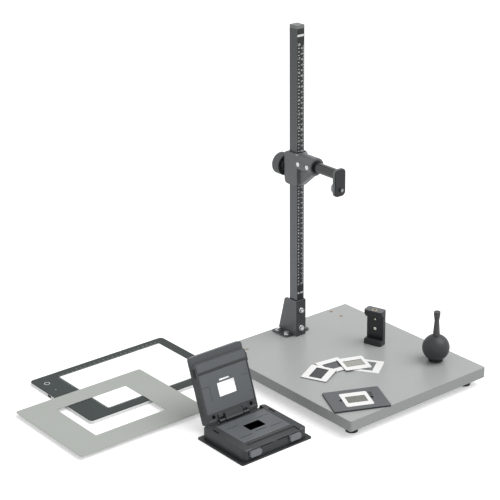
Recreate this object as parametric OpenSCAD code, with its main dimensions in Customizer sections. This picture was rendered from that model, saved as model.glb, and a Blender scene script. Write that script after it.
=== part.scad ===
// Slide duplicating outfit: a copy stand with a sliding carriage, a light pad with a masking sheet,
// a hinged film holder, a slide insert, loose slides, a phone clamp and a dust blower.
// Millimetres, +Z up. The origin is on the table under the middle of the whole set.

/* [Baseboard] */
// Width of the baseboard, left to right
board_w = 328; // [300:1:420]
// Depth of the baseboard, front to rear
board_d = 376; // [370:1:460]
// Thickness of the baseboard
board_t = 19; // [16:0.5:30]
// Corner radius of the baseboard, seen from above
board_corner_r = 3; // [2:0.5:12]
// Thickness of the edge banding
banding_t = 1; // [0.5:0.1:2]
// Height of the rubber feet
foot_h = 16; // [8:0.5:20]
// Radius of the rubber feet
foot_r = 12; // [9:0.5:18]
// Distance of a foot's centre from the two edges beside it
foot_inset = 26; // [20:1:50]
// Distance of the threaded inserts from the middle, left and right
insert_x = 117; // [70:1:135]
// Distance between the two inserts of a pair, front to rear
insert_pitch = 28; // [20:1:30]
// Bore radius of the threaded inserts
insert_bore_r = 2.5; // [2:0.5:3]

/* [Column] */
// Width of the column, left to right
col_w = 18; // [15:0.5:22]
// Depth of the column, front to rear
col_d = 19.5; // [16:0.5:24]
// Wall of the column
col_wall = 2; // [1.5:0.25:3]
// Length of the column above the board
col_len = 591; // [500:1:800]
// Distance of the column's centre behind the middle of the board
col_inset = 44; // [44:1:70]
// Thickness of the cap on top of the column
cap_t = 6; // [2:0.5:8]
// Width of the scale strip in the front of the column
strip_w = 15; // [8:0.5:15]
// Depth of the groove that the scale strip fills
strip_t = 0.5; // [0.3:0.1:0.8]

/* [Column bracket] */
// Thickness of the bracket's steel sheet
bracket_t = 2.5; // [2:0.5:4]
// Height of the bracket
bracket_h = 72; // [60:1:100]
// Reach of the cheeks behind the column's centre, at the foot
cheek_foot_y = 40; // [34:1:42]
// Reach of the cheeks behind the column's centre, at the top
cheek_top_y = 23; // [16:1:30]
// Reach of the two flanges from the column's centre, left and right
flange_x = 30; // [28:1:45]
// Radius of the bolts that hold the column
col_bolt_r = 3; // [2:0.5:4]

/* [Carriage] */
// Height of the carriage's underside above the board
car_z = 301; // [120:1:450]
// Height of the carriage
car_h = 62; // [60:1:80]
// Width of the carriage
car_w = 27; // [27:1:36]
// Thickness of the glide liners
liner_t = 1.5; // [1:0.25:2]
// Gap between the liners and the column
glide_gap = 0.15; // [0.1:0.05:0.3]
// Height of the arm's axis above the carriage's underside
arm_axis_h = 45; // [40:0.5:45]
// Radius of the socket that holds the arm
socket_r = 16.5; // [14:0.5:16.5]
// Distance from the column's centre to the open end of the socket
socket_reach = 54.5; // [45:0.5:75]
// Radius of the arm tube
arm_r = 9.5; // [8:0.5:10.5]
// Distance from the column's centre to the end of the arm
arm_reach = 112; // [100:1:200]
// Radius of the clamping knob
knob_r = 20.5; // [18:0.5:26]
// Thickness of the clamping knob
knob_t = 18; // [12:0.5:24]
// Height of the knob's axis above the carriage's underside
knob_h = 28.5; // [26:0.5:34]
// Travel of the pressure shoe when the knob is undone
shoe_travel = 1.875; // [1.25:0.125:2]

/* [Camera plate] */
// Width of the camera plate
plate_w = 26; // [24:1:40]
// Thickness of the camera plate
plate_t = 5; // [3:0.5:8]
// Distance of the camera screw below the arm's axis
screw_drop = 26; // [22:1:34]
// Radius of the camera screw's thread
screw_r = 3.175; // [3.175, 4.7625]
// Length of thread that stands out of the seat
screw_out = 5; // [4:0.5:7]

/* [Light pad] */
// Width of the light pad
pad_w = 298; // [292:1:360]
// Depth of the light pad
pad_d = 203; // [190:1:260]
// Height of the light pad
pad_h = 7.5; // [7.5:0.5:12]
// Bezel on the left of the lit window
bezel_left = 52; // [44:1:60]
// Bezel on the right of the lit window
bezel_right = 21; // [12:1:24]
// Bezel in front of the lit window
bezel_front = 23; // [14:1:30]
// Bezel behind the lit window
bezel_rear = 20.5; // [14:0.5:30]
// Space between the light pad and the board
pad_gap = 7.6; // [6:0.1:60]
// Light pad's centre, behind the board's rear edge
pad_back = 55.8; // [50:0.1:90]

/* [Mask sheet] */
// Width of the masking sheet
mask_w = 266; // [230:1:270]
// Depth of the masking sheet
mask_d = 210; // [190:1:220]
// Thickness of the masking sheet
mask_t = 1; // [0.8:0.1:1.5]
// Width of the window in the sheet
mask_win_w = 147.5; // [110:0.5:170]
// Depth of the window in the sheet
mask_win_d = 123.5; // [90:0.5:130]
// Sheet's centre, left of the light pad's centre
mask_left = 99.4; // [90:0.1:110]
// Sheet's centre, in front of the light pad's centre
mask_front = 93.4; // [80:0.1:96]

/* [Film holder] */
// Space between the film holder's plate and the board
holder_gap = 44.5; // [30:0.5:80]
// Film holder's centre, behind the board's middle
holder_y = -78; // [-110:1:-70]
// Width of the base plate
hplate_w = 151; // [146:1:170]
// Depth of the base plate
hplate_d = 123; // [120:1:140]
// Thickness of the base plate
hplate_t = 3; // [2:0.5:5]
// Width of the holder's lower housing
hbase_w = 137; // [132:1:142]
// Depth of the holder's lower housing
hbase_d = 114; // [112:1:118]
// Height of the lower housing on its plate
hbase_h = 20; // [18:0.5:26]
// Corner radius of the lower housing
hbase_r = 8; // [4:0.5:12]
// Width of the gate insert
gate_w = 104; // [98:1:106]
// Depth of the gate insert
gate_d = 74; // [66:1:75]
// Thickness of the gate insert
gate_t = 6; // [5:0.5:8]
// Width of the picture window
frame_w = 37; // [24:1:40]
// Depth of the picture window
frame_d = 24; // [20:1:30]
// Width of the lid
lid_w = 111; // [109:1:115]
// Thickness of the lid
lid_t = 16; // [14:0.5:18]
// Angle by which the lid stands open
lid_open = 110; // [90:1:112]
// Radius of the hinge pin
pin_r = 1.5; // [1:0.25:2]

/* [Slide insert and slides] */
// Width of the picture in a slide
picture_w = 36; // [24:1:37]
// Depth of the picture in a slide
picture_d = 24; // [18:1:37]
// Width of the slide insert
insert_w = 102; // [96:1:110]
// Depth of the slide insert
insert_d = 75; // [70:1:77]
// Thickness of the slide insert
insert_t = 3; // [2.8:0.2:5]
// Side of a square slide mount
mount_side = 50; // [48:0.5:51]
// Thickness of a slide mount
mount_t = 1.6; // [1.4:0.1:1.8]

/* [Phone clamp] */
// Width of the clamp's jaws
clamp_w = 37; // [34:1:44]
// Depth of the clamp, front to rear
clamp_d = 20; // [20:1:26]
// Height of the clamp when it is closed
clamp_h = 69; // [66:1:90]
// Travel of the upper jaw
clamp_travel = 22; // [10:1:22]
// Radius of the clamp's guide rods
rod_r = 1.75; // [1.5:0.25:2]

/* [Dust blower] */
// Radius of the blower's bulb
bulb_r = 25; // [22:0.5:30]
// Height of the blower
blower_h = 97; // [88:1:120]
// Radius of the nozzle's mouth
mouth_r = 6; // [5:0.5:8]

/* [Hidden] */
$fn = 48;
// Overrun of a cut past the face that it opens
cut = 1;
// Gap between two pieces that are pressed or screwed together
fit_gap = 0.05;
// Gap round a piece that lies in a recess
seat_gap = 0.2;
// Gap round a piece that moves
move_gap = 0.3;

// Baseboard details
board_top = foot_h + board_t;
col_y = board_d / 2 - col_inset;
pad_x = -board_w / 2 - pad_gap - pad_w / 2;
pad_y = board_d / 2 + pad_back;
mask_x = pad_x - mask_left;
mask_y = pad_y - mask_front;
holder_x = -board_w / 2 - holder_gap - hplate_w / 2;
foot_taper = 1;
foot_screw_r = 2;
foot_head_r = 4;
foot_head_h = 2.5;
foot_screw_grip = 11;
foot_cup_share = 0.6;
foot_cup = foot_h * foot_cup_share;
insert_wall = 1.25;
insert_edge = 11;
insert_len = 11;

// Column and bracket details
strip_gap = 1;
strip_low = bracket_h + strip_gap;
strip_end = 0.5;
strip_len = col_len - strip_low - strip_end;
plug_h = 12;
cheek_top_r = 8;
flange_front = 4;
flange_r = 6;
flange_screw_inset = 9;
flange_screw_x = flange_x - flange_screw_inset;
flange_screw_r = 2.5;
flange_screw_len = 15;
flange_screw_front = 5.5;
flange_screw_rear = 30;
hex_af = 8;
hex_h = 4;
washer_r = 5.25;
washer_t = 1.2;
bolt_head_r = 4.5;
bolt_head_h = 3.4;
socket_af = 4;
socket_depth = 2;
bolt_low = 16;
bolt_high = 52;
nut_af = 10;
nut_h = 5;
bolt_tail = 2;

// Carriage details
passage_w = col_w + 2 * (liner_t + glide_gap);
passage_d = col_d + 2 * (liner_t + glide_gap);
front_wall = 5.75;
rear_wall = 9.25;
car_front = col_d / 2 + front_wall;
car_rear = col_d / 2 + rear_wall;
car_r = 8;
car_side_r = 3;
liner_end = 3;
socket_wall = 3.75;
socket_floor = 3.5;
gusset_t = 16;
gusset_share = 0.85;
tube_wall = 2.5;
collar_t = 3;
set_screw_r = 2;
set_screw_head_r = 4;
set_screw_head_h = 2.5;
set_screw_front = 8.5;
set_screw_pitch = 24.6;
stud_r = 4;
shoe_w = 13;
shoe_t = 3;
shoe_h = 26;
shoe_gap = 0.2;
tip_r = 2.5;
tip_len = 1.8;
boss_r = 9;
boss_len = 4;
knob_gap = 6;
knob_teeth = 44;
knob_tooth = 0.9;
knob_dish_r = 16.5;
knob_dish = 5;
hub_r = 9;
stud_grip = 12;

// Camera plate details
plate_above = 12;
plate_below = 13;
plate_corner_r = 8;
spigot_len = 15;
seat_t = 1.5;
seat_inset = 1.5;
shank_r = 2.6;
thumb_r = 9.5;
thumb_h = 9;
thumb_teeth = 28;
thumb_tooth = 0.6;
thumb_gap = 0.3;
arm_y = col_y - arm_reach;
arm_z = car_z + arm_axis_h;

// Light pad details
pad_r = 8;
pad_foot_h = 0.8;
pad_foot_r = 6;
pad_foot_inset = 14;
pad_floor = 1.2;
bezel_t = 1.4;
bezel_inset = 0.5;
diffuser_t = 1.2;
guide_margin = 3;
led_w = 4;
key_r = 5.5;
key_t = 0.6;
key_x = 20;
key_y = 29.3;
socket_y = 134.5;
port_w = 9;
port_h = 3.2;
port_depth = 7;
port_wall = 0.6;
lit_w = pad_w - bezel_left - bezel_right;
lit_d = pad_d - bezel_front - bezel_rear;
lit_x = (bezel_left - bezel_right) / 2;
lit_y = (bezel_front - bezel_rear) / 2;
guide_w = lit_w + 2 * guide_margin;
guide_d = lit_d + 2 * guide_margin;
tray_h = pad_h - bezel_t - pad_foot_h;

// Masking sheet details
mask_r = 5;
mask_win_r = 1;
mask_win_x = 1;
mask_win_y = 3.8;
mask_lift = 0.1;

// Film holder details
hbase_top = hplate_t + hbase_h;
hplate_r = 3;
edge_bevel = 2;
well_margin = 9;
frame_x = 1.5;
frame_y = 5;
gate_y = 4;
gate_lip = 1.5;
frame_lip = 1.2;
lip_margin = 3;
gate_win_x = 2.2;
lid_win_x = 0.5;
trough_d = 13.3;
trough_z = 6;
trough_side_z = 5;
hinge_clear = 1;
axis_down = 2;
axis_in = 1;
axis_z = hbase_top - axis_down;
axis_y = hbase_d / 2 - axis_in;
trough_gap = 1.5;
ear_w = 12;
ear_r = 3;
ear_x = 26;
ledge_front = 17;
ledge_drop = 1.5;
groove_w = 1.2;
groove_t = 0.8;
groove_len = 27;
groove_x = 33;
groove_y = 19.3;
groove_mid = 3;
mid_groove_len = 23.5;
mid_groove_x = 1.5;
mid_groove_y = 16;
button_w = 24;
button_h = 11;
button_z = 8.5;
button_x = 43;
front_shift = -2.5;
button_out = 4;
button_in = 9;
button_travel = 2.5;
button_r = 4;
slit_w = 26;
slit_h = 1.6;
slit_depth = 7;
slit_x = 17.8;
slit_z = 19.2;
notch_w = 3;
notch_d = 16;
notch_t = 2.5;
notch_x = 61;
notch_y = 28;

// Lid details, in the closed position, measured from the hinge axis
lid_gap = 0.3;
lid_back = 2.8;
knuckle_back = 1.5;
lid_front = 106;
lip_len = 13;
lip_t = 10;
lid_skin = 3;
lid_r = 5;
lid_well_rear = 15;
lid_well_front = 89;
lid_gate_w = 104;
lid_gate_t = 4;
lid_gate_drop = 1;
lid_gate_rear = 15.5;
lid_gate_front = 85.5;
lid_win_y = axis_y - frame_y;
mouth_margin = 11;
slot_d = 2.8;
slot_len = 23.5;
slot_y = 67.4;
bar_rear = 90.6;
bar_front = 104.5;
bar_t = 3;
bar_w = 105;
corner_pad_w = 15;
corner_pad_d = 10;
corner_pad_t = 1.2;
corner_pad_x = 44.2;
corner_pad_y = 9.5;
magnet_r = 2.6;
magnet_in = 3.3;
clip_len = 14.5;
clip_h = 5;
clip_out = 2.4;
clip_y = 90.3;
clip_up = 1.5;
knuckle_w = 37;
knuckle_len = 11;
knuckle_r = 3.2;
ear_notch = 4.8;
rib_w = 9;
rib_front = 12;
rib_rear = 6.5;
rib_out = 2.4;
pin_gap = 0.05;
lid_low = lid_gap + axis_down;

// Slide insert and slide details
insert_side = 61.5;
insert_front = 53.2;
insert_x_pos = insert_side - board_w / 2;
insert_y_pos = insert_front - board_d / 2;
insert_yaw = -24.5;
insert_r = 2;
recess_gap = 0.4;
recess_floor = insert_t - mount_t;
finger_r = 6;
finger_drop = 0.6;
insert_win_margin = 1;
clip_w = 5;
clip_d = 14;
clip_t = 1.2;
mount_r = 3;
film_margin = 1.5;
film_t = 0.3;
film_gap = 0.05;
lean = 2.9;
// Place, level and turn of the loose slides: x, y, height in mounts, yaw, lean
slides = [[-41.5, -7.5, 0, -8, 0], [4.3, -49, 0, 34, 0], [-9.5, -27, 1, -21, 0],
    [-85, -16.5, 0, 25, lean]];
pile_gap = 0.05;

// Phone clamp details
clamp_side = 82.6;
clamp_x = board_w / 2 - clamp_side;
clamp_y = 15.9;
clamp_yaw = -72.5;
back_t = 9;
back_side = 1.5;
jaw_h = 9;
lip_h = 12;
upper_lip = 8.5;
lip_thick = 3.5;
rod_x = 11;
rod_hold = 28;
rod_len = clamp_travel + rod_hold;
rod_gap = 0.06;
spring_r = 2;
spring_bore_r = 2.4;
spring_low = 14;
thread_r = 3.175;
bush_wall = 1.3;
thread_z = 30;
top_thread_len = 8;
top_thread_wall = 0.5;
window_slot_w = 6;
window_slot_h = 3;
window_slot_z = 52;
grip_t = 1;
grip_side = 3;
clamp_r = 3.5;

// Dust blower details
blower_side = 48;
blower_front = 78.6;
blower_x = board_w / 2 - blower_side;
blower_y = blower_front - board_d / 2;
ring_r = 13.5;
ring_h = 3.5;
ring_bore_r = 3;
bulb_sink = 1.5;
bulb_wall = 3;
neck_r = 6.5;
neck_share = 0.62;
waist_r = 4.3;
waist_z = 80;
air_r = 1.5;
bulb_z = bulb_r + bulb_sink;

// Middle of the whole set on the table
function turned_reach(w, d, r, a) = (w / 2 - r) * cos(a) + (d / 2 - r) * abs(sin(a)) + r;
set_left = min(mask_x - mask_w / 2, -board_w / 2);
set_right = board_w / 2;
set_front = min(-board_d / 2, holder_y - hplate_d / 2,
    insert_y_pos - turned_reach(insert_d, insert_w, insert_r, insert_yaw));
set_rear = max(pad_y + pad_d / 2, board_d / 2);
mid_x = (set_left + set_right) / 2;
mid_y = (set_front + set_rear) / 2;

// Colours, as photographed
laminate = "#b9bbb9";
banding = "#8d908f";
steel_paint = "#55575a";
holder_grey = "#54575b";
holder_dark = "#3c3e41";
near_black = "#26272a";
bright_steel = "#c9cccd";
brass = "#a58a5a";
rubber = "#333436";
white_plastic = "#eceeec";
bezel_grey = "#454b4a";
sheet_grey = "#b3b6b1";

// Place children on the table, at a point measured from under the middle of the board
module at_table(x = 0, y = 0, z = 0, yaw = 0)
    translate([x - mid_x, y - mid_y, z]) rotate([0, 0, yaw]) children();

// Place children on top of the baseboard
module on_board(x = 0, y = 0, z = 0, yaw = 0) at_table(x, y, board_top + z, yaw) children();

// Place children with their z axis pointing to the front or to the rear
module facing_front(x, y, z) translate([x, y, z]) rotate([90, 0, 0]) children();
module facing_rear(x, y, z) translate([x, y, z]) rotate([-90, 0, 0]) children();
module facing_left(x, y, z) translate([x, y, z]) rotate([0, -90, 0]) children();

// Rectangle with round corners, and a slab of that outline
module rounded(w, d, r) {
    square([w - 2 * r, d], center = true);
    square([w, d - 2 * r], center = true);
    for (i = [-1, 1], j = [-1, 1]) translate([i * (w / 2 - r), j * (d / 2 - r)]) circle(r);
}
module slab(w, d, h, r) linear_extrude(h) rounded(w, d, r);

// Block that is centred left to right and front to rear
module block(w, d, h) translate([-w / 2, -d / 2, 0]) cube([w, d, h]);

// Block between two heights and two distances from the middle
module span(w, y0, y1, z0, z1) translate([-w / 2, y0, z0]) cube([w, y1 - y0, z1 - z0]);

module ring(outer, inner, h) difference() {
    cylinder(r = outer, h = h);
    translate([0, 0, -cut]) cylinder(r = inner, h = h + 2 * cut);
}

// Hexagon across its flats
module hexagon(af, h) cylinder(d = af / cos(30), h = h, $fn = 6);

// Cylinder with a knurled edge, drilled through
module knurled(r, h, teeth, tooth, bore) linear_extrude(h) difference() {
    polygon([for (i = [0:2 * teeth - 1]) let (a = i * 180 / teeth, q = i % 2 == 0 ? r : r - tooth)
        [q * cos(a), q * sin(a)]]);
    circle(bore);
}

// Points of a quarter round
function arc(c, r, from, steps) = [for (i = [0:steps]) let (a = from + i * 90 / steps)
    [c[0] + r * cos(a), c[1] + r * sin(a)]];

module four_feet(w, d, inset) for (i = [-1, 1], j = [-1, 1])
    translate([i * (w / 2 - inset), j * (d / 2 - inset), 0]) children();

module at_flange_screws() for (i = [-1, 1], y = [flange_screw_front, flange_screw_rear])
    translate([i * flange_screw_x, col_y + y, 0]) children();

module at_inserts() for (i = [-1, 1], j = [0, 1])
    translate([i * insert_x, board_d / 2 - insert_edge - j * insert_pitch, 0]) children();

module at_column_bolts() for (z = [bolt_low, bolt_high]) translate([0, col_y, z]) children();

module baseboard() color(laminate) difference() {
    at_table(0, 0, foot_h)
        slab(board_w - 2 * banding_t, board_d - 2 * banding_t, board_t, board_corner_r - banding_t);
    on_board() at_inserts() translate([0, 0, -insert_len])
        cylinder(r = insert_bore_r + insert_wall + fit_gap, h = insert_len + cut);
    on_board() at_flange_screws() translate([0, 0, -flange_screw_len])
        cylinder(r = flange_screw_r + fit_gap, h = flange_screw_len + cut);
    at_table(0, 0, foot_h - cut) four_feet(board_w, board_d, foot_inset)
        cylinder(r = foot_screw_r + fit_gap, h = foot_screw_grip + fit_gap + cut);
}

module edge_banding() color(banding) at_table(0, 0, foot_h) linear_extrude(board_t) difference() {
    rounded(board_w, board_d, board_corner_r);
    rounded(board_w - 2 * banding_t, board_d - 2 * banding_t, board_corner_r - banding_t);
}

module rubber_feet() color(rubber) at_table() four_feet(board_w, board_d, foot_inset) difference() {
    cylinder(r1 = foot_r - foot_taper, r2 = foot_r, h = foot_h);
    translate([0, 0, -cut]) cylinder(r = foot_screw_r + fit_gap, h = foot_h + 2 * cut);
    translate([0, 0, -cut]) cylinder(r = foot_head_r + seat_gap, h = foot_cup + cut);
}

module foot_screws() color(bright_steel) at_table() four_feet(board_w, board_d, foot_inset)
    translate([0, 0, foot_cup - foot_head_h]) union() {
        cylinder(r = foot_head_r, h = foot_head_h);
        cylinder(r = foot_screw_r, h = foot_h - foot_cup + foot_head_h + foot_screw_grip);
    }

module threaded_inserts() color(brass) on_board() at_inserts() translate([0, 0, -insert_len])
    ring(insert_bore_r + insert_wall, insert_bore_r, insert_len);

// Folded steel foot of the column: front plate, two sloping cheeks and two flanges
module column_bracket() color(steel_paint) on_board(0, col_y) difference() {
    union() {
        span(col_w + 2 * bracket_t, -col_d / 2 - bracket_t, -col_d / 2, 0, bracket_h);
        for (i = [-1, 1]) translate([i * (col_w + bracket_t) / 2, 0, 0]) rotate([90, 0, 90])
            linear_extrude(bracket_t, center = true) polygon(concat(
                [[-col_d / 2 - bracket_t, bracket_h], [-col_d / 2 - bracket_t, 0], [cheek_foot_y, 0]],
                arc([cheek_top_y - cheek_top_r, bracket_h - cheek_top_r], cheek_top_r, 0, 6)));
        for (i = [-1, 1]) intersection() {
            translate([i * flange_x / 2, (cheek_foot_y - flange_front) / 2, 0])
                slab(flange_x, cheek_foot_y + flange_front, bracket_t, flange_r);
            translate([i * (flange_x + col_w + bracket_t) / 2, (cheek_foot_y - flange_front) / 2, -cut])
                block(flange_x, 2 * (cheek_foot_y + flange_front), bracket_t + 2 * cut);
        }
    }
    for (i = [-1, 1], y = [flange_screw_front, flange_screw_rear])
        translate([i * flange_screw_x, y, -cut])
            cylinder(r = flange_screw_r + seat_gap, h = bracket_t + 2 * cut);
    for (z = [bolt_low, bolt_high]) facing_front(0, -col_d / 2 + cut, z)
        cylinder(r = col_bolt_r + fit_gap, h = bracket_t + 2 * cut);
}

// Hexagon screws with their washers
module bracket_screws() color(bright_steel) on_board() at_flange_screws() union() {
    translate([0, 0, bracket_t - flange_screw_len])
        cylinder(r = flange_screw_r, h = flange_screw_len + washer_t);
    translate([0, 0, bracket_t]) cylinder(r = washer_r, h = washer_t);
    translate([0, 0, bracket_t + washer_t]) hexagon(hex_af, hex_h);
}

module column_bolts() color(bright_steel) on_board() at_column_bolts() difference() {
    union() {
        facing_rear(0, -col_d / 2 - bracket_t, 0)
            cylinder(r = col_bolt_r, h = bracket_t + col_d + washer_t + nut_h + bolt_tail);
        facing_front(0, -col_d / 2 - bracket_t, 0) cylinder(r = washer_r, h = washer_t);
        facing_front(0, -col_d / 2 - bracket_t - washer_t, 0) cylinder(r = bolt_head_r, h = bolt_head_h);
    }
    facing_front(0, -col_d / 2 - bracket_t - washer_t - bolt_head_h + socket_depth, 0)
        hexagon(socket_af, socket_depth + cut);
}

module column_nuts() color(bright_steel) on_board() at_column_bolts() difference() {
    union() {
        facing_rear(0, col_d / 2, 0) cylinder(r = washer_r, h = washer_t);
        facing_rear(0, col_d / 2 + washer_t, 0) hexagon(nut_af, nut_h);
    }
    facing_rear(0, col_d / 2 - cut, 0)
        cylinder(r = col_bolt_r + fit_gap, h = washer_t + nut_h + 2 * cut);
}

module column() color(steel_paint) on_board(0, col_y) difference() {
    block(col_w, col_d, col_len);
    translate([0, 0, -cut]) block(col_w - 2 * col_wall, col_d - 2 * col_wall, col_len + 2 * cut);
    span(strip_w, -col_d / 2 - cut, -col_d / 2 + strip_t, strip_low, strip_low + strip_len);
    for (z = [bolt_low, bolt_high]) facing_rear(0, -col_d / 2 - cut, z)
        cylinder(r = col_bolt_r + fit_gap, h = col_d + 2 * cut);
}

module column_cap() color(holder_dark) on_board(0, col_y, col_len) union() {
    block(col_w, col_d, cap_t);
    translate([0, 0, -plug_h])
        block(col_w - 2 * col_wall - seat_gap, col_d - 2 * col_wall - seat_gap, plug_h);
}

module scale_strip() color(near_black) on_board(0, col_y, strip_low)
    span(strip_w - 2 * fit_gap, -col_d / 2, -col_d / 2 + strip_t, fit_gap, strip_len - fit_gap);

// Side view of the carriage without its socket: round corners at the rear, gusset at the front
module carriage_body() difference() {
    union() {
        translate([0, (car_rear - car_front) / 2, car_h / 2]) rotate([90, 0, 90])
            linear_extrude(car_w, center = true) rounded(car_front + car_rear, car_h, car_r);
        translate([0, -car_front / 2 + car_side_r, car_h / 2]) rotate([90, 0, 90])
            linear_extrude(car_w, center = true) square([car_front - car_side_r, car_h], center = true);
        rotate([90, 0, 90]) linear_extrude(gusset_t, center = true) polygon([
            [-car_front + car_side_r, 0], [-car_front, 0],
            [-socket_reach + car_side_r, arm_axis_h - socket_r * gusset_share],
            [-socket_reach + car_side_r, arm_axis_h], [-car_front + car_side_r, arm_axis_h]]);
        facing_front(0, -passage_d / 2 - cut, arm_axis_h)
            cylinder(r = socket_r, h = socket_reach - passage_d / 2 - cut);
        facing_rear(0, passage_d / 2 + cut, knob_h)
            cylinder(r = boss_r, h = car_rear + boss_len - passage_d / 2 - cut);
    }
}

module carriage_housing() color(steel_paint) on_board(0, col_y, car_z) difference() {
    carriage_body();
    translate([0, 0, -cut]) block(passage_w, passage_d, car_h + 2 * cut);
    facing_front(0, -passage_d / 2 - socket_floor, arm_axis_h)
        cylinder(r = arm_r + fit_gap, h = socket_reach);
    facing_front(0, -socket_reach + collar_t, arm_axis_h)
        cylinder(r = socket_r - socket_wall + fit_gap, h = collar_t + cut);
    translate([0, col_d / 2, knob_h - shoe_h / 2 - seat_gap]) span(shoe_w + 2 * seat_gap, 0,
        shoe_gap + shoe_t + shoe_travel + move_gap, 0, shoe_h + 2 * seat_gap);
    facing_rear(0, 0, knob_h) cylinder(r = stud_r + fit_gap, h = car_rear + boss_len + cut);
    for (i = [0, 1]) facing_left(0, -set_screw_y(i), arm_axis_h)
        cylinder(r = set_screw_r + fit_gap, h = socket_r + cut);
    for (i = [0, 1]) facing_left(-socket_r + set_screw_head_h, -set_screw_y(i), arm_axis_h)
        cylinder(r = set_screw_head_r + seat_gap, h = set_screw_head_h + cut);
}
function set_screw_y(i) = socket_reach - set_screw_front - i * set_screw_pitch;

module carriage_liners() color(near_black) on_board(0, col_y, car_z) {
    span(col_w, -passage_d / 2, -passage_d / 2 + liner_t, liner_end, car_h - liner_end);
    for (i = [-1, 1]) translate([i * (passage_w - liner_t) / 2, 0, 0])
        span(liner_t, -passage_d / 2, passage_d / 2, liner_end, car_h - liner_end);
}

module arm_collar() color(near_black) on_board(0, col_y, car_z)
    facing_front(0, -socket_reach + collar_t, arm_axis_h)
        ring(socket_r - socket_wall, arm_r + fit_gap, collar_t);

module arm_set_screws() color(bright_steel) on_board(0, col_y, car_z)
    for (i = [0, 1]) translate([-socket_r + set_screw_head_h, -set_screw_y(i), arm_axis_h])
        rotate([0, -90, 0]) difference() {
            union() {
                translate([0, 0, arm_r - socket_r + set_screw_head_h + fit_gap])
                    cylinder(r = set_screw_r, h = socket_r - arm_r - fit_gap);
                cylinder(r = set_screw_head_r, h = set_screw_head_h);
            }
            translate([0, 0, set_screw_head_h / 2]) hexagon(socket_af, set_screw_head_h);
        }

module arm_tube() color(steel_paint) on_board(0, col_y, car_z)
    facing_front(0, -passage_d / 2 - socket_floor, arm_axis_h)
        ring(arm_r, arm_r - tube_wall, arm_reach - passage_d / 2 - socket_floor);

// Plate at the end of the arm, with the spigot that holds it in the tube
module camera_plate() color(steel_paint) on_board(0, arm_y, arm_z) difference() {
    union() {
        facing_front(0, 0, (plate_above - plate_below - screw_drop) / 2)
            slab(plate_w, plate_above + screw_drop + plate_below, plate_t, plate_corner_r);
        facing_rear(0, 0, 0) cylinder(r = arm_r - tube_wall - fit_gap, h = spigot_len);
    }
    facing_front(0, cut, -screw_drop) cylinder(r = shank_r + fit_gap, h = plate_t + 2 * cut);
}

module camera_seat_pad() color(rubber) on_board(0, arm_y - plate_t, arm_z) difference() {
    facing_front(0, 0, (plate_above - plate_below - screw_drop) / 2) slab(plate_w - 2 * seat_inset,
        plate_above + screw_drop + plate_below - 2 * seat_inset, seat_t, plate_corner_r - seat_inset);
    facing_front(0, cut, -screw_drop) cylinder(r = screw_r + seat_gap, h = seat_t + 2 * cut);
}

module camera_screw() color(bright_steel) on_board(0, arm_y, arm_z - screw_drop) union() {
    facing_rear(0, thumb_gap, 0) knurled(thumb_r, thumb_h, thumb_teeth, thumb_tooth, 0);
    facing_front(0, thumb_gap + cut, 0)
        cylinder(r = shank_r, h = thumb_gap + cut + plate_t + seat_t + screw_out);
    facing_front(0, -plate_t - seat_t, 0) cylinder(r = screw_r, h = screw_out);
}

// Shoe that the clamping screw presses on the column
module clamp_shoe() color(near_black) on_board(0, col_y, car_z + knob_h) difference() {
    translate([0, 0, -shoe_h / 2])
        span(shoe_w, col_d / 2 + shoe_gap, col_d / 2 + shoe_gap + shoe_t, 0, shoe_h);
    facing_rear(0, col_d / 2 + shoe_gap + shoe_t - tip_len - fit_gap, 0)
        cylinder(r = tip_r + fit_gap, h = tip_len + cut);
}

module clamp_screw() color(bright_steel) on_board(0, col_y, car_z + knob_h) union() {
    facing_rear(0, col_d / 2 + shoe_gap + shoe_t - tip_len, 0)
        cylinder(r = tip_r, h = tip_len + fit_gap + cut);
    facing_rear(0, col_d / 2 + shoe_gap + shoe_t + fit_gap, 0) cylinder(r = stud_r - fit_gap / 2,
        h = car_rear + boss_len + knob_gap + stud_grip - col_d / 2 - shoe_gap - shoe_t - fit_gap);
}

module clamp_knob() color(near_black) on_board(0, col_y, car_z + knob_h)
    facing_rear(0, car_rear + boss_len + knob_gap, 0) difference() {
        knurled(knob_r, knob_t, knob_teeth, knob_tooth, 0);
        translate([0, 0, -cut]) difference() {
            cylinder(r = knob_dish_r, h = knob_dish + cut);
            cylinder(r = hub_r, h = knob_dish + 2 * cut);
        }
        translate([0, 0, -cut]) cylinder(r = stud_r + fit_gap / 2, h = stud_grip + cut + fit_gap);
    }

// White tray of the light pad, with its bays and its cable port
module pad_housing() color(white_plastic) at_table(pad_x, pad_y, pad_foot_h) difference() {
    slab(pad_w, pad_d, tray_h, pad_r);
    translate([lit_x, lit_y, pad_floor]) block(guide_w + 2 * seat_gap, guide_d + 2 * seat_gap, tray_h);
    translate([lit_x - (guide_w + led_w) / 2, lit_y, pad_floor])
        block(led_w + 2 * seat_gap, guide_d + 2 * seat_gap, tray_h);
    translate([-pad_w / 2, socket_y - pad_d / 2, (tray_h - port_h) / 2 - port_wall]) span(
        2 * (port_depth + seat_gap), -port_w / 2 - port_wall - seat_gap,
        port_w / 2 + port_wall + seat_gap, 0, port_h + 2 * port_wall);
}

module pad_bezel() color(bezel_grey) at_table(pad_x, pad_y, pad_foot_h + tray_h) difference() {
    slab(pad_w - 2 * bezel_inset, pad_d - 2 * bezel_inset, bezel_t, pad_r - bezel_inset);
    translate([lit_x, lit_y, -cut]) block(lit_w, lit_d, bezel_t + 2 * cut);
    translate([key_x - pad_w / 2, pad_d / 2 - key_y, bezel_t - key_t])
        cylinder(r = key_r + fit_gap, h = key_t + cut);
}

module pad_diffuser() color("white") at_table(pad_x, pad_y, pad_foot_h + tray_h)
    translate([lit_x, lit_y, 0]) block(lit_w - 2 * seat_gap, lit_d - 2 * seat_gap, diffuser_t);

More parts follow.
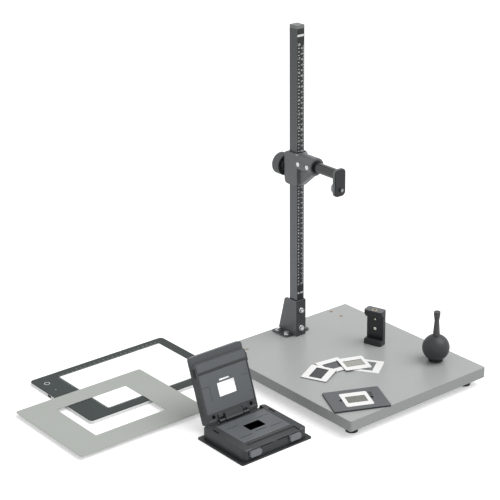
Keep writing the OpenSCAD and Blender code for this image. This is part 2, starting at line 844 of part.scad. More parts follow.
module pad_light_guide() color("white") at_table(pad_x, pad_y, pad_foot_h + pad_floor)
    translate([lit_x, lit_y, 0]) block(guide_w, guide_d, tray_h - pad_floor);

module pad_led_strip() color(brass) at_table(pad_x, pad_y, pad_foot_h + pad_floor)
    translate([lit_x - (guide_w + led_w) / 2 - seat_gap / 2, lit_y, 0])
        block(led_w - seat_gap, guide_d, tray_h - pad_floor);

module pad_touch_key() color(bezel_grey)
    at_table(pad_x + key_x - pad_w / 2, pad_y + pad_d / 2 - key_y, pad_foot_h + tray_h + bezel_t - key_t)
        cylinder(r = key_r, h = key_t);

module pad_power_socket() color(near_black)
    at_table(pad_x - pad_w / 2, pad_y + socket_y - pad_d / 2, pad_foot_h + (tray_h - port_h) / 2)
        difference() {
            translate([port_depth / 2, 0, -port_wall + fit_gap])
                block(port_depth, port_w + 2 * port_wall, port_h + 2 * port_wall - 2 * fit_gap);
            translate([-cut, 0, 0]) block(2 * (port_depth - port_wall + cut), port_w, port_h);
        }

module pad_feet() color(rubber) at_table(pad_x, pad_y) four_feet(pad_w, pad_d, pad_foot_inset)
    cylinder(r = pad_foot_r, h = pad_foot_h);

// The stiff sheet lies flat on the light pad and stands out over its front and left edges
module mask_sheet() color(sheet_grey) at_table(mask_x, mask_y, pad_h + mask_lift)
    linear_extrude(mask_t) difference() {
        rounded(mask_w, mask_d, mask_r);
        translate([mask_win_x, mask_win_y]) rounded(mask_win_w, mask_win_d, mask_win_r);
    }

module holder_plate() color(near_black) at_table(holder_x, holder_y) difference() {
    slab(hplate_w, hplate_d, hplate_t, hplate_r);
    translate([frame_x, gate_y, -cut])
        block(gate_w - 2 * well_margin, gate_d - 2 * well_margin, hplate_t + 2 * cut);
}

// Lower housing: a bevelled block with the light well, the gate's seat, the hinge trough and ears
module holder_block() union() {
    slab(hbase_w, hbase_d, hbase_h - edge_bevel, hbase_r);
    translate([0, 0, hbase_h - edge_bevel]) hull() {
        slab(hbase_w, hbase_d, fit_gap, hbase_r);
        translate([0, 0, edge_bevel - fit_gap])
            slab(hbase_w - 2 * edge_bevel, hbase_d - 2 * edge_bevel, fit_gap, hbase_r - edge_bevel);
    }
}

module holder_base() color(holder_grey) at_table(holder_x, holder_y, hplate_t) difference() {
    union() {
        difference() {
            holder_block();
            span(lid_w + 2 * trough_gap, hbase_d / 2 - trough_d, hbase_d / 2 + cut,
                hbase_h - trough_side_z, hbase_h + cut);
            span(2 * (ear_x + hinge_clear) + ear_w, hbase_d / 2 - trough_d, hbase_d / 2 + cut,
                hbase_h - trough_z, hbase_h);
        }
        for (i = [-1, 1]) translate([i * ear_x, axis_y, 0]) {
            span(ear_w, -ear_r, axis_in, hbase_h - trough_z - cut, hbase_h - axis_down);
            translate([-ear_w / 2, 0, hbase_h - axis_down]) rotate([0, 90, 0])
                cylinder(r = ear_r, h = ear_w);
        }
    }
    translate([frame_x, gate_y, -cut])
        block(gate_w - 2 * well_margin, gate_d - 2 * well_margin, hbase_h);
    translate([frame_x, gate_y, hbase_h - gate_t])
        block(gate_w + 2 * seat_gap, gate_d + 2 * seat_gap, gate_t + cut);
    translate([-ear_x - ear_w / 2 - cut, axis_y, hbase_h - axis_down]) rotate([0, 90, 0])
        cylinder(r = pin_r + fit_gap / 2, h = 2 * ear_x + ear_w + 2 * cut);
    translate([frame_x, 0, hbase_h - ledge_drop])
        span(gate_w, -hbase_d / 2 - cut, -hbase_d / 2 + ledge_front, 0, ledge_drop + cut);
    for (i = [-1, 1]) {
        translate([front_shift + i * button_x, -hbase_d / 2, button_z - hplate_t - move_gap]) span(
            button_w + 2 * move_gap, -cut, button_in + button_travel + move_gap,
            0, button_h + 2 * move_gap);
        translate([front_shift + i * slit_x, -hbase_d / 2, slit_z - hplate_t])
            span(slit_w, -cut, slit_depth, 0, slit_h);
        translate([i * notch_x, notch_y, hbase_h - notch_t]) block(notch_w, notch_d, notch_t + cut);
    }
}

// Gate insert with its window and its film guides
module holder_gate() color(holder_grey)
    at_table(holder_x + frame_x, holder_y, hbase_top - gate_t) difference() {
        translate([0, gate_y, 0]) block(gate_w, gate_d, gate_t - fit_gap);
        translate([gate_win_x, frame_y, -cut]) {
            block(frame_w - 2 * gate_lip, frame_d - 2 * gate_lip, gate_t + 2 * cut);
            block(frame_w + 2 * lip_margin, frame_d + 2 * lip_margin, gate_t - frame_lip + cut);
        }
        for (i = [-1, 1], j = [-1, 1])
            translate([i * groove_x, groove_mid + j * groove_y, gate_t - groove_t])
                block(groove_len, groove_w, groove_t + cut);
        translate([mid_groove_x, groove_mid - mid_groove_y, gate_t - groove_t])
            block(mid_groove_len, groove_w, groove_t + cut);
    }

module holder_hinge_pin() color(bright_steel) at_table(holder_x, holder_y + axis_y, axis_z)
    translate([-ear_x - ear_w / 2, 0, 0]) rotate([0, 90, 0]) cylinder(r = pin_r, h = 2 * ear_x + ear_w);

// Front button with round ends, its stem and the springy tongue behind it
module front_button() color(holder_dark) {
    facing_front(0, cut, button_h / 2) slab(button_w, button_h, button_out + cut, button_r);
    span(button_w, 0, button_in, 0, button_h);
}
module holder_button_left()
    at_table(holder_x + front_shift - button_x, holder_y - hbase_d / 2, button_z) front_button();
module holder_button_right()
    at_table(holder_x + front_shift + button_x, holder_y - hbase_d / 2, button_z) front_button();

// Place children of the closed lid, measured from the hinge axis, and open them
module on_lid() at_table(holder_x, holder_y + axis_y, axis_z) rotate([-lid_open, 0, 0]) children();

module lid_frame() color(holder_grey) on_lid() difference() {
    union() {
        translate([0, (lid_back - lid_front) / 2, lid_low]) slab(lid_w, lid_front + lid_back, lid_t, lid_r);
        translate([0, -lid_front - lip_len / 2 + lid_r, lid_low + lid_t - lip_t])
            slab(lid_w, lip_len + 2 * lid_r, lip_t, lid_r);
        span(knuckle_w, -knuckle_len, knuckle_back, -knuckle_r, lid_low + cut);
        for (i = [-1, 1]) translate([i * ear_x, 0, 0])
            span(rib_w, -rib_front, -rib_rear, lid_low - rib_out, lid_low + cut);
    }
    translate([frame_x, 0, lid_low]) {
        span(lid_gate_w + 2 * fit_gap, -lid_well_front, -lid_well_rear, -cut, lid_t - lid_skin);
        translate([0, -lid_win_y, 0])
            block(frame_w + 2 * mouth_margin, frame_d + 2 * mouth_margin, lid_t + cut);
        span(bar_w + 2 * fit_gap, -bar_front - fit_gap, -bar_rear + fit_gap, -cut, bar_t);
        for (i = [-1, 1]) translate([i * corner_pad_x, -corner_pad_y, -cut])
            block(corner_pad_w + 2 * fit_gap, corner_pad_d + 2 * fit_gap, corner_pad_t + cut);
    }
    for (i = [-1, 1]) translate([i * ear_x, 0, 0])
        span(ear_w + 2 * move_gap, -ear_r - lid_back, lid_back + cut, lid_low - cut, ear_notch);
    translate([-knuckle_w / 2 - cut, 0, 0]) rotate([0, 90, 0])
        cylinder(r = pin_r + pin_gap, h = knuckle_w + 2 * cut);
}

// Pressure plate in the lid, with the picture window and a slot
module lid_gate() color(holder_grey) on_lid() translate([frame_x, 0, lid_low]) difference() {
    span(lid_gate_w, -lid_gate_front, -lid_gate_rear, lid_gate_drop, lid_gate_drop + lid_gate_t);
    translate([lid_win_x, -lid_win_y, 0]) block(frame_w, frame_d, lid_t);
    translate([lid_win_x, -lid_win_y, lid_gate_drop + frame_lip])
        block(frame_w + 2 * lip_margin, frame_d + 2 * lip_margin, lid_t);
    translate([0, -slot_y, 0]) block(slot_len, slot_d, lid_t);
}

module lid_catch_bar() color(holder_grey) on_lid() translate([frame_x, 0, lid_low])
    span(bar_w, -bar_front, -bar_rear, 0, bar_t - fit_gap);

module lid_corner_pads() color(holder_grey) on_lid() for (i = [-1, 1])
    translate([frame_x + i * corner_pad_x, -corner_pad_y, lid_low]) difference() {
        block(corner_pad_w, corner_pad_d, corner_pad_t - fit_gap);
        translate([-i * magnet_in, 0, -cut]) cylinder(r = magnet_r, h = corner_pad_t / 2 + cut);
    }

module lid_side_clips() color(near_black) on_lid() for (i = [-1, 1])
    translate([i * (lid_w + clip_out) / 2, -clip_y, lid_low + clip_up]) block(clip_out, clip_len, clip_h);

module slide_insert() color(holder_grey)
    on_board(insert_x_pos, insert_y_pos, 0, insert_yaw) difference() {
        slab(insert_w, insert_d, insert_t, insert_r);
        translate([0, 0, recess_floor]) block(mount_side + recess_gap, mount_side + recess_gap, insert_t);
        translate([0, 0, -cut])
            block(picture_w + insert_win_margin, picture_d + insert_win_margin, insert_t + 2 * cut);
        for (i = [-1, 1]) translate([i * mount_side / 2, 0, recess_floor - finger_drop])
            cylinder(r = finger_r, h = insert_t);
        translate([mount_side / 2 + clip_w, clip_d, insert_t - clip_t])
            block(clip_w + 2 * fit_gap, clip_d + 2 * fit_gap, clip_t + cut);
    }

module insert_clip() color(near_black) on_board(insert_x_pos, insert_y_pos, 0, insert_yaw)
    translate([mount_side / 2 + clip_w, clip_d, insert_t - clip_t]) block(clip_w, clip_d, clip_t);

// Slide mount with its window and the pocket that holds the film
module mount() difference() {
    slab(mount_side, mount_side, mount_t, mount_r);
    translate([0, 0, -cut]) block(picture_w, picture_d, mount_t + 2 * cut);
    translate([0, 0, (mount_t - film_t) / 2 - film_gap]) block(picture_w + 2 * film_margin + 2 * film_gap,
        picture_d + 2 * film_margin + 2 * film_gap, film_t + 2 * film_gap);
}
module film() translate([0, 0, (mount_t - film_t) / 2])
    block(picture_w + 2 * film_margin, picture_d + 2 * film_margin, film_t);

module at_insert_slide() on_board(insert_x_pos, insert_y_pos, recess_floor + fit_gap, insert_yaw) children();
module insert_slide_mount() color(white_plastic) at_insert_slide() mount();
module insert_slide_film() color("gray") at_insert_slide() film();

// A slide that leans turns about its left edge
module at_slides() for (s = slides) on_board(s[0], s[1], s[2] * (mount_t + pile_gap), s[3])
    translate([-mount_side / 2, 0, 0]) rotate([0, -s[4], 0]) translate([mount_side / 2, 0, 0]) children();
module loose_slide_mounts() color(white_plastic) at_slides() mount();
module loose_slide_films() color("gray") at_slides() film();

module at_clamp() on_board(clamp_x, clamp_y, 0, clamp_yaw) children();
clamp_front = -clamp_d / 2;
clamp_rear = clamp_d / 2;
back_front = clamp_rear - back_t;
back_h = clamp_h - jaw_h;
rod_y = clamp_rear - back_t / 2;
top_thread_y = rod_y - spring_bore_r - top_thread_wall - bush_wall - thread_r;

module phone_clamp_body() color(near_black) at_clamp() difference() {
    union() {
        slab(clamp_w, clamp_d, jaw_h, clamp_r);
        span(clamp_w - 2 * clamp_r, clamp_front, clamp_front + lip_thick, 0, lip_h);
        span(clamp_w - 2 * back_side, back_front, clamp_rear, 0, back_h - move_gap);
    }
    for (i = [-1, 1]) translate([i * rod_x, rod_y, back_h - rod_len - seat_gap])
        cylinder(r = rod_r + rod_gap, h = rod_len + cut);
    translate([0, rod_y, spring_low]) cylinder(r = spring_bore_r, h = back_h);
    facing_rear(0, back_front - cut, thread_z)
        cylinder(r = thread_r + bush_wall + fit_gap, h = back_t / 2 - spring_bore_r + cut);
    translate([0, back_front, window_slot_z - window_slot_h / 2])
        span(window_slot_w, -cut, back_t / 2 - spring_bore_r - fit_gap, 0, window_slot_h);
    translate([0, 0, jaw_h]) span(clamp_w - 2 * grip_side, clamp_front + lip_thick, back_front, -grip_t, cut);
}

module phone_clamp_jaw() color(near_black) at_clamp() translate([0, 0, clamp_h - jaw_h]) difference() {
    union() {
        slab(clamp_w, clamp_d, jaw_h, clamp_r);
        span(clamp_w - 2 * clamp_r, clamp_front, clamp_front + lip_thick, jaw_h - upper_lip - clamp_r, jaw_h);
    }
    for (i = [-1, 1]) translate([i * rod_x, rod_y, -cut]) cylinder(r = rod_r + fit_gap, h = jaw_h / 2 + cut);
    translate([0, rod_y, -cut]) cylinder(r = spring_bore_r, h = jaw_h / 2 + cut);
    translate([0, top_thread_y, jaw_h - top_thread_len])
        cylinder(r = thread_r + bush_wall + fit_gap, h = top_thread_len + cut);
    span(clamp_w - 2 * grip_side, clamp_front + lip_thick, back_front, -cut, grip_t);
}

module phone_clamp_rods() color(bright_steel) at_clamp() for (i = [-1, 1])
    translate([i * rod_x, rod_y, back_h - rod_len]) cylinder(r = rod_r, h = rod_len + jaw_h / 2 - fit_gap);

module phone_clamp_spring() color(bright_steel) at_clamp() translate([0, rod_y, spring_low + fit_gap])
    ring(spring_r, spring_r / 2, clamp_h - jaw_h / 2 - spring_low - 2 * fit_gap);

module phone_clamp_face_thread() color(brass) at_clamp() facing_rear(0, back_front, thread_z)
    ring(thread_r + bush_wall, thread_r, back_t / 2 - spring_bore_r - fit_gap);

module phone_clamp_top_thread() color(brass) at_clamp()
    translate([0, top_thread_y, clamp_h - top_thread_len])
        ring(thread_r + bush_wall, thread_r, top_thread_len);

module phone_clamp_grips() color(rubber) at_clamp()
    translate([0, 0, jaw_h - grip_t]) span(clamp_w - 2 * grip_side - 2 * fit_gap,
        clamp_front + lip_thick + fit_gap, back_front - fit_gap, 0, grip_t + fit_gap);

module at_blower() on_board(blower_x, blower_y) children();

// Hollow rubber bulb, open at the nozzle and at the valve
module blower_bulb() color(rubber) at_blower() difference() {
    translate([0, 0, bulb_z]) sphere(bulb_r);
    translate([0, 0, bulb_z]) sphere(bulb_r - bulb_wall);
    translate([0, 0, -cut]) block(2 * bulb_r, 2 * bulb_r, ring_h + cut);
    translate([0, 0, -cut]) cylinder(r = neck_r + fit_gap, h = bulb_z + bulb_r + cut);
}

module blower_valve() color(rubber) at_blower() difference() {
    cylinder(r = ring_r, h = ring_h);
    translate([0, 0, -cut]) cylinder(r = ring_bore_r, h = ring_h + 2 * cut);
}

module blower_nozzle() color(rubber) at_blower() rotate_extrude() polygon([
    [air_r, bulb_z + bulb_r * neck_share], [neck_r, bulb_z + bulb_r * neck_share],
    [neck_r, bulb_z + bulb_r], [waist_r, waist_z],
    [mouth_r, blower_h - mouth_r], [mouth_r, blower_h], [air_r, blower_h]]);

baseboard();
edge_banding();
rubber_feet();
foot_screws();
threaded_inserts();
column_bracket();
bracket_screws();
column_bolts();
column_nuts();
column();
column_cap();
scale_strip();
carriage_housing();
carriage_liners();
arm_collar();
arm_set_screws();
arm_tube();
camera_plate();
camera_seat_pad();
camera_screw();
clamp_shoe();
clamp_screw();
clamp_knob();
pad_housing();
pad_bezel();
pad_diffuser();
pad_light_guide();
pad_led_strip();
pad_touch_key();
pad_power_socket();
pad_feet();
mask_sheet();
holder_plate();
holder_base();
holder_gate();
holder_hinge_pin();
holder_button_left();
holder_button_right();
lid_frame();
lid_gate();
lid_catch_bar();
lid_corner_pads();
lid_side_clips();
slide_insert();
insert_clip();
insert_slide_mount();
insert_slide_film();
loose_slide_mounts();
loose_slide_films();
phone_clamp_body();
phone_clamp_jaw();
phone_clamp_rods();
phone_clamp_spring();
phone_clamp_face_thread();
phone_clamp_top_thread();
phone_clamp_grips();
blower_bulb();
blower_nozzle();
blower_valve();
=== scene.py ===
# %% [markdown]
# # A slide duplicating outfit
# The set is a copy stand with a sliding carriage, a light pad under a masking sheet, a hinged film
# holder, a slide insert, some framed slides, a phone clamp and a dust blower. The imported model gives
# every solid at its real size and place. This file gives them their finishes, adds the printing and
# the fine pieces that a solid model leaves out, and lights the set as in the photograph.

# %% The frame
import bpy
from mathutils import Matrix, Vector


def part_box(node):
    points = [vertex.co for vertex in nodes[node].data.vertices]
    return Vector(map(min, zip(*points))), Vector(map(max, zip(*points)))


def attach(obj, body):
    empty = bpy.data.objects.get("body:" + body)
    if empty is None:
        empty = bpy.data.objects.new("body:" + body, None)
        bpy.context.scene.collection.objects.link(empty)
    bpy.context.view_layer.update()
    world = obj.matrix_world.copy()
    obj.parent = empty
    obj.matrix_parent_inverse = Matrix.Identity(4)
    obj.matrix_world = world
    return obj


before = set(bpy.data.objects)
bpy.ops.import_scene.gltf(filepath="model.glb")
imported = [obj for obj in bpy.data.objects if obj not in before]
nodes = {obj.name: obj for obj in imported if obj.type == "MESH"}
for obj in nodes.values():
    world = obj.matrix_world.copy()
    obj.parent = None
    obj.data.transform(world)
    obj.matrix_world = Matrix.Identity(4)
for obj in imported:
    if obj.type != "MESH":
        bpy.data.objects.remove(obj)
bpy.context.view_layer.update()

from math import cos, pi, radians, sin
import bmesh
import bpy
from mathutils import Matrix, Vector

MM = 0.001

# %% [markdown]
# The camera is settled first, because everything else is judged through it. The photograph was fitted
# with a long lens that looks down by about 22 degrees from the front left of the stand. Turning the
# camera first about its own view axis, then up from straight down, then round the vertical keeps the
# three angles apart, so each can be corrected by itself. The fit gave the focal length in pixels of a
# picture 500 wide, and the sensor's width in millimetres turns it into a lens.

# %% The camera
AZIMUTH, ELEVATION, ROLL = radians(-38.755), radians(21.63), radians(-0.616)
CAMERA_SPOT = (-1582.7, -2009.04, 1288.6)
SENSOR, FOCAL_PIXELS, PICTURE_PIXELS = 36, 1581.4, 500
camera = bpy.data.objects.new("camera", bpy.data.cameras.new("camera"))
bpy.context.scene.collection.objects.link(camera)
camera.data.sensor_width = SENSOR
camera.data.lens = SENSOR * FOCAL_PIXELS / PICTURE_PIXELS
camera.data.clip_start, camera.data.clip_end = 0.05, 60
aim = (Matrix.Rotation(AZIMUTH, 4, "Z") @ Matrix.Rotation(pi / 2 - ELEVATION, 4, "X")
       @ Matrix.Rotation(ROLL, 4, "Z"))
camera.matrix_world = Matrix.Translation([along * MM for along in CAMERA_SPOT]) @ aim
bpy.context.scene.camera = camera
print("lens:", round(camera.data.lens, 1), "mm")

# %% [markdown]
# Materials come next. Colours are written as the web writes them, which is how an eye picks them
# from a picture, and one function turns them into the linear values that a renderer adds up. A
# second small function adds any node, sets it and links it, so each finish below reads as a list.

# %% Colour and node helpers
def linear(code):
    """A web colour as linear red, green and blue with a full alpha, by the sRGB curve."""
    parts = [int(code[i:i + 2], 16) / 255 for i in (0, 2, 4)]
    return tuple(c / 12.92 if c <= 0.04045 else ((c + 0.055) / 1.055) ** 2.4 for c in parts) + (1.0,)


def add(tree, kind, inputs=None, **settings):
    """One node of a kind, with its settings, and with its inputs either set or linked."""
    new = tree.nodes.new(kind)
    for name, value in settings.items():
        setattr(new, name, value)
    for name, value in (inputs or {}).items():
        if isinstance(value, bpy.types.NodeSocket):
            tree.links.new(value, new.inputs[name])
        else:
            new.inputs[name].default_value = value
    return new


print("mid grey is", round(linear("808080")[0], 3), "in linear light")

# %% [markdown]
# Nearly every finish here is a plain colour that the eye still reads as a real surface, because of
# three things: a grain that breaks up the highlight, a slow drift of tone from handling, and a
# roughness that isn't even. The drift comes from a wide noise and mixes a darker and a paler version
# of the colour. A finish can instead fade from one colour at its foot to another at its top, and it
# can carry small specks, which follow the grain.

# %% The tone of a surface
DRIFT_SPAN, DRIFT_DETAIL = 45, 2.0
SPECK_FROM, SPECK_TO = 0.35, 0.65


def toned(tree, place, fine, code, drift, speck, fade):
    """The socket of a surface's colour: drifting, or faded between two heights, and then specked."""
    if fade:
        low, high, foot, top = fade
        level = add(tree, "ShaderNodeSeparateXYZ", {"Vector": place}).outputs["Z"]
        share = add(tree, "ShaderNodeMapRange", {"Value": level, "From Min": foot * MM, "From Max": top * MM})
        ends = {"Factor": share.outputs["Result"], "A": linear(low), "B": linear(high)}
    else:
        slow = add(tree, "ShaderNodeTexNoise", {"Vector": place, "Scale": 1 / (DRIFT_SPAN * MM),
                                                "Detail": DRIFT_DETAIL}).outputs["Fac"]
        dark = tuple(c * (1 - drift) for c in linear(code)[:3]) + (1,)
        pale = tuple(min(c * (1 + drift), 1) for c in linear(code)[:3]) + (1,)
        ends = {"Factor": slow, "A": dark, "B": pale}
    colour = add(tree, "ShaderNodeMix", ends, data_type="RGBA").outputs["Result"]
    if speck:
        spots = add(tree, "ShaderNodeMapRange", {"Value": fine, "From Min": SPECK_FROM, "From Max": SPECK_TO,
                                                 "To Min": 1 - speck, "To Max": 1 + speck})
        colour = add(tree, "ShaderNodeVectorMath", {0: colour, 1: spots.outputs["Result"]},
                     operation="MULTIPLY").outputs["Vector"]
    return colour


print("tones drift over", DRIFT_SPAN, "mm")

# %% [markdown]
# The rest of a surface is its grain, given in millimetres. One fine noise moves the roughness a
# little up and down and is the height of a bump as well. Grain finer than a pixel is drawn a little
# coarser than life, or it would vanish in the picture. A bevel node rounds the light on every edge by
# a real radius, as a mould or a coat of paint does.

# %% A surface with grain
GRAIN_DETAIL, GRAIN_CRISP = 3.0, 0.6
GRAIN_FROM, GRAIN_TO, UNEVEN, GLOSSIEST = 0.3, 0.7, 0.06, 0.02
EDGE_RAYS, RELIEF = 6, 0.5


def surface(name, code, rough=0.5, metal=0.0, ior=1.5, grain=0.6, depth=0.02, drift=0.06, speck=0.0,
            stretch=(1, 1, 1), edge=0.4, shine=0.5, fade=None):
    """A finish by name: grain, depth and edge are in millimetres, and drift and speck are shares."""
    made = bpy.data.materials.new(name)
    made.use_nodes = True
    tree = made.node_tree
    shader = tree.nodes["Principled BSDF"]
    place = add(tree, "ShaderNodeTexCoord").outputs["Object"]
    run = add(tree, "ShaderNodeMapping", {"Vector": place, "Scale": stretch}).outputs["Vector"]
    fine = add(tree, "ShaderNodeTexNoise", {"Vector": run, "Scale": 1 / (grain * MM), "Detail": GRAIN_DETAIL,
                                            "Roughness": GRAIN_CRISP}).outputs["Fac"]
    tree.links.new(toned(tree, place, fine, code, drift, speck, fade), shader.inputs["Base Color"])
    dull = add(tree, "ShaderNodeMapRange", {"Value": fine, "From Min": GRAIN_FROM, "From Max": GRAIN_TO,
                                            "To Min": max(rough - UNEVEN, GLOSSIEST),
                                            "To Max": min(rough + UNEVEN, 1)})
    tree.links.new(dull.outputs["Result"], shader.inputs["Roughness"])
    soft = add(tree, "ShaderNodeBevel", {"Radius": edge * MM}, samples=EDGE_RAYS).outputs["Normal"]
    relief = add(tree, "ShaderNodeBump", {"Height": fine, "Distance": depth * MM, "Strength": RELIEF,
                                          "Normal": soft})
    tree.links.new(relief.outputs["Normal"], shader.inputs["Normal"])
    shader.inputs["Metallic"].default_value = metal
    if not metal:
        shader.inputs["IOR"].default_value = ior
    shader.inputs["Specular IOR Level"].default_value = shine
    made.diffuse_color = linear(code)
    print("finish:", name)
    return made


print("roughness moves by", UNEVEN, "either way")

# %% [markdown]
# The paints: the column, its bracket and the carriage are steel and cast aluminium under a black
# powder coat, which cures to a slightly pebbled skin. The bracket's front and flange get a darker
# coat, which is painted shade. The column is painted paler at its foot and darker at its top, as
# painted light and shade. The arm is gloss enamel: nearly black, with hardly any grain and a sharp
# highlight.

# %% Powder coat and enamel
# The column's painted light and shade: the colours at the foot and at the top, and the heights that they
# belong to.
COLUMN_PAINTED_SHADE = ("72757a", "484a4c", 120, 600)
powder_coat = surface("black powder coat on steel", "626467", rough=0.42, grain=1.1, depth=0.10, shine=0.7)
# Painted shade: this darker coat goes on the bracket's front and flange.
painted_shade_coat = surface("black powder coat in painted shade", "3a3b3d", rough=0.45, grain=1.1, depth=0.10)
powder_coat_column = surface("black powder coat on tube", "47494b", rough=0.45, grain=1.0, depth=0.06,
                             drift=0.05, fade=COLUMN_PAINTED_SHADE)
gloss_enamel = surface("black gloss enamel on tube", "1b1c1e", rough=0.16, ior=1.7, grain=1.6, depth=0.01,
                       drift=0.05)

# %% [markdown]
# The metals have no colour under their shine, so a tint and a roughness tell them apart. Zinc plate
# is a cool white, nickel a warm one, and turned brass deep in a hole is a dull brown. Ground rods have
# their grain squeezed along the rod, so it runs round it as grinding leaves it. The hinge pin is
# blackened and nearly matt. A metal keeps the default IOR.

# %% Bare and plated metals
zinc_steel = surface("zinc-plated steel", "eef0f2", rough=0.28, metal=1.0, grain=3.0, depth=0.004, drift=0.03,
                     edge=0.3)
turned_brass = surface("turned brass", "ad9c8b", rough=0.55, metal=1.0, grain=3.0, depth=0.004, drift=0.05,
                       edge=0.2)
bright_nickel = surface("bright nickel plating", "f6f2e6", rough=0.30, metal=1.0, grain=3.0, depth=0.004,
                        drift=0.03)
nickel_brass = surface("nickel-plated brass", "d9cfae", rough=0.22, metal=1.0, grain=3.0, depth=0.004,
                       drift=0.04)
ground_steel = surface("ground steel rod", "9da1a5", rough=0.22, metal=1.0, grain=1.5, depth=0.01,
                       stretch=(1, 1, 12))
blackened_steel = surface("blackened steel", "2a2b2c", metal=1.0, grain=1.5, depth=0.01)

# %% [markdown]
# The baseboard is chipboard under a grey melamine laminate, which is printed with a fine speck and
# pressed nearly smooth. Its edge is closed with a plastic strip, a little darker and duller than the
# laminate, so the board's sides read as another material.

# %% Laminate and edge strip
melamine = surface("grey melamine laminate", "b1b3b2", rough=0.34, grain=1.6, depth=0.03, drift=0.02,
                   speck=0.04)
edge_strip = surface("grey plastic edge strip", "979a99", rough=0.46, grain=1.2, depth=0.03, drift=0.03)

# %% [markdown]
# The film holder and the insert are moulded in ABS. Frames come from a spark-eroded mould, so they
# are grained and scatter the light. Gates and buttons come from a smoother one and look lighter. A
# moulded surface is never quite matt, so the roughness stays near 0.4, and a wide edge radius gives
# a moulding its soft outline.

# %% ABS of the film holder and the insert
grained_abs = surface("dark grained ABS", "3c3f41", rough=0.38, grain=0.9, depth=0.05, edge=0.7)
base_abs = surface("black grained ABS", "2f3234", rough=0.38, grain=0.9, depth=0.05, edge=0.7)
# Painted light: a lighter grey for the top band of the open lid.
lid_top_painted_light = surface("grained ABS with painted light on the lid's top", "4d5053", rough=0.40, grain=0.9, depth=0.05, drift=0.05, edge=0.7)
lid_abs = surface("grey smooth ABS", "5e6266", rough=0.34, grain=1.4, drift=0.05, edge=0.5)
smooth_abs = surface("dark smooth ABS", "5b5f63", rough=0.36, grain=1.4, drift=0.05, edge=0.5)
insert_abs = surface("dark satin ABS", "585b5e", rough=0.40, grain=1.0, depth=0.03, drift=0.04)
# Also used for painted highlights on the gate's front edge and below the lid's corner pads.
button_abs_and_highlight = surface("button ABS and painted highlights", "73777a", rough=0.34, grain=1.2, drift=0.05, edge=1.2)
plate_abs = surface("black sheet ABS", "262729", rough=0.42, grain=1.0, depth=0.03)

# %% [markdown]
# The other mouldings are small: the column's cap, the knob, the liners and the phone clamp. The
# knob's ribbed rim is painted lighter than its face, and the clamp's top lighter than its sides, both
# as painted light. The clamp has the widest edge radius of all, because its jaws are moulded very
# round. The near-black for inner walls is painted shade, dull and with hardly any highlight, and the
# lid's magnets share it.

# %% Plastics of the stand and the phone clamp
cap_abs = surface("grey cap ABS", "747877", rough=0.42, grain=1.2, drift=0.04)
# Black ABS, also used as painted shade on the insert's side walls.
black_abs_and_shade = surface("black ABS", "232426", rough=0.42, grain=1.0, depth=0.03, drift=0.08)
# Painted light on the knob's ribbed rim.
knob_rim_painted_light = surface("black ribbed ABS with painted rim light", "5f6163", rough=0.45, grain=1.0, depth=0.04)
# Painted light on the top of the clamp's jaw.
clamp_top = surface("black ABS with painted top light", "5c5e62", rough=0.38, grain=1.0, depth=0.03, edge=1.8)
clamp_abs = surface("black clamp ABS", "222326", rough=0.40, grain=1.0, depth=0.03, edge=1.8)
black_nylon = surface("black nylon", "1b1c1e", rough=0.40, grain=1.0, depth=0.03, drift=0.08)
# Painted shade for the holder's inner walls and recess; also the lid's magnets.
shade_and_magnet_black = surface("black for painted shade and magnets", "0b0b0c", rough=0.9, grain=1.0, drift=0.05, shine=0.1)

# %% [markdown]
# Slide mounts are a clean white plastic, and their side walls get a dark painted shade. The light pad
# is a white case with clear acrylic inside. The print on its border lies under clear plastic, so it
# has no relief and only a faint shine. The masking sheet is a slightly grey, matt PVC.

# %% Slide mounts, light pad and masking sheet
mount_plastic = surface("white slide mount plastic", "fcfcfb", rough=0.45, grain=1.5, depth=0.01, drift=0.01)
# Painted shade for the side walls of the slide mounts.
mount_painted_shade = surface("slide mount sides in painted shade", "3a3b3c", rough=0.45, grain=1.5, depth=0.01, drift=0.03)
case_abs = surface("white case ABS", "f1f3f2", rough=0.40, grain=1.5, drift=0.01)
clear_acrylic = surface("clear acrylic light guide", "eef1f1", rough=0.12, grain=3.0, depth=0.01, drift=0.01)
bezel_print = surface("dark print under clear plastic", "333b3a", grain=2.6, depth=0.0, drift=0.03,
                      speck=0.10, shine=0.25)
mask_pvc = surface("grey matt PVC sheet", "b0b4af", rough=0.58, grain=1.3, drift=0.02)

# %% [markdown]
# Rubber is the dullest of them, and its tone drifts the most, from dust and handling. The blower is
# silicone, which is smoother and has a soft sheen, and its neck is a little greyer than the bulb.

# %% Rubbers
rubber = surface("black rubber", "2a2b2d", rough=0.62, grain=0.9, depth=0.06, drift=0.10)
blower_rubber = surface("grey-black silicone rubber", "333437", rough=0.46, grain=1.1)
neck_rubber = surface("grey-black silicone neck", "4a4a49", rough=0.46, grain=1.1)

# %% [markdown]
# Inks and films are flat and thin, so they get hardly any bump. Each slide film was exposed
# differently, so each has its own tone under the same gloss, and a strong drift stands for the soft
# picture on it. The black for painted shade in grooves and gaps is dull, because little light comes
# back out of one.

# %% Inks and films
FILMS = {"dense slide film": "303135", "dark slide film": "4b4e52", "thin slide film": "a3a59d",
         "grey slide film": "838687", "yellowish slide film": "72736b"}
film_dense, film_dark, film_thin, film_grey, film_yellow = (
    surface(name, code, rough=0.26, grain=2.5, depth=0.01, drift=0.12) for name, code in FILMS.items())
strip_film = surface("black printed film", "1b1c1d", rough=0.40, grain=2.0, depth=0.01, drift=0.05)
white_ink = surface("white printing ink", "e6e8e8", rough=0.55, grain=1.0, depth=0.005, drift=0.02)
pale_ink = surface("pale grey printing ink", "a9b1af", rough=0.55, grain=1.0, depth=0.005, drift=0.02)
# Painted shade in grooves, pockets and joints.
groove_and_joint_shade = surface("black painted shade in grooves and gaps", "1a1b1c", rough=0.7, grain=1.0, depth=0.005, drift=0.03,
                       shine=0.2)

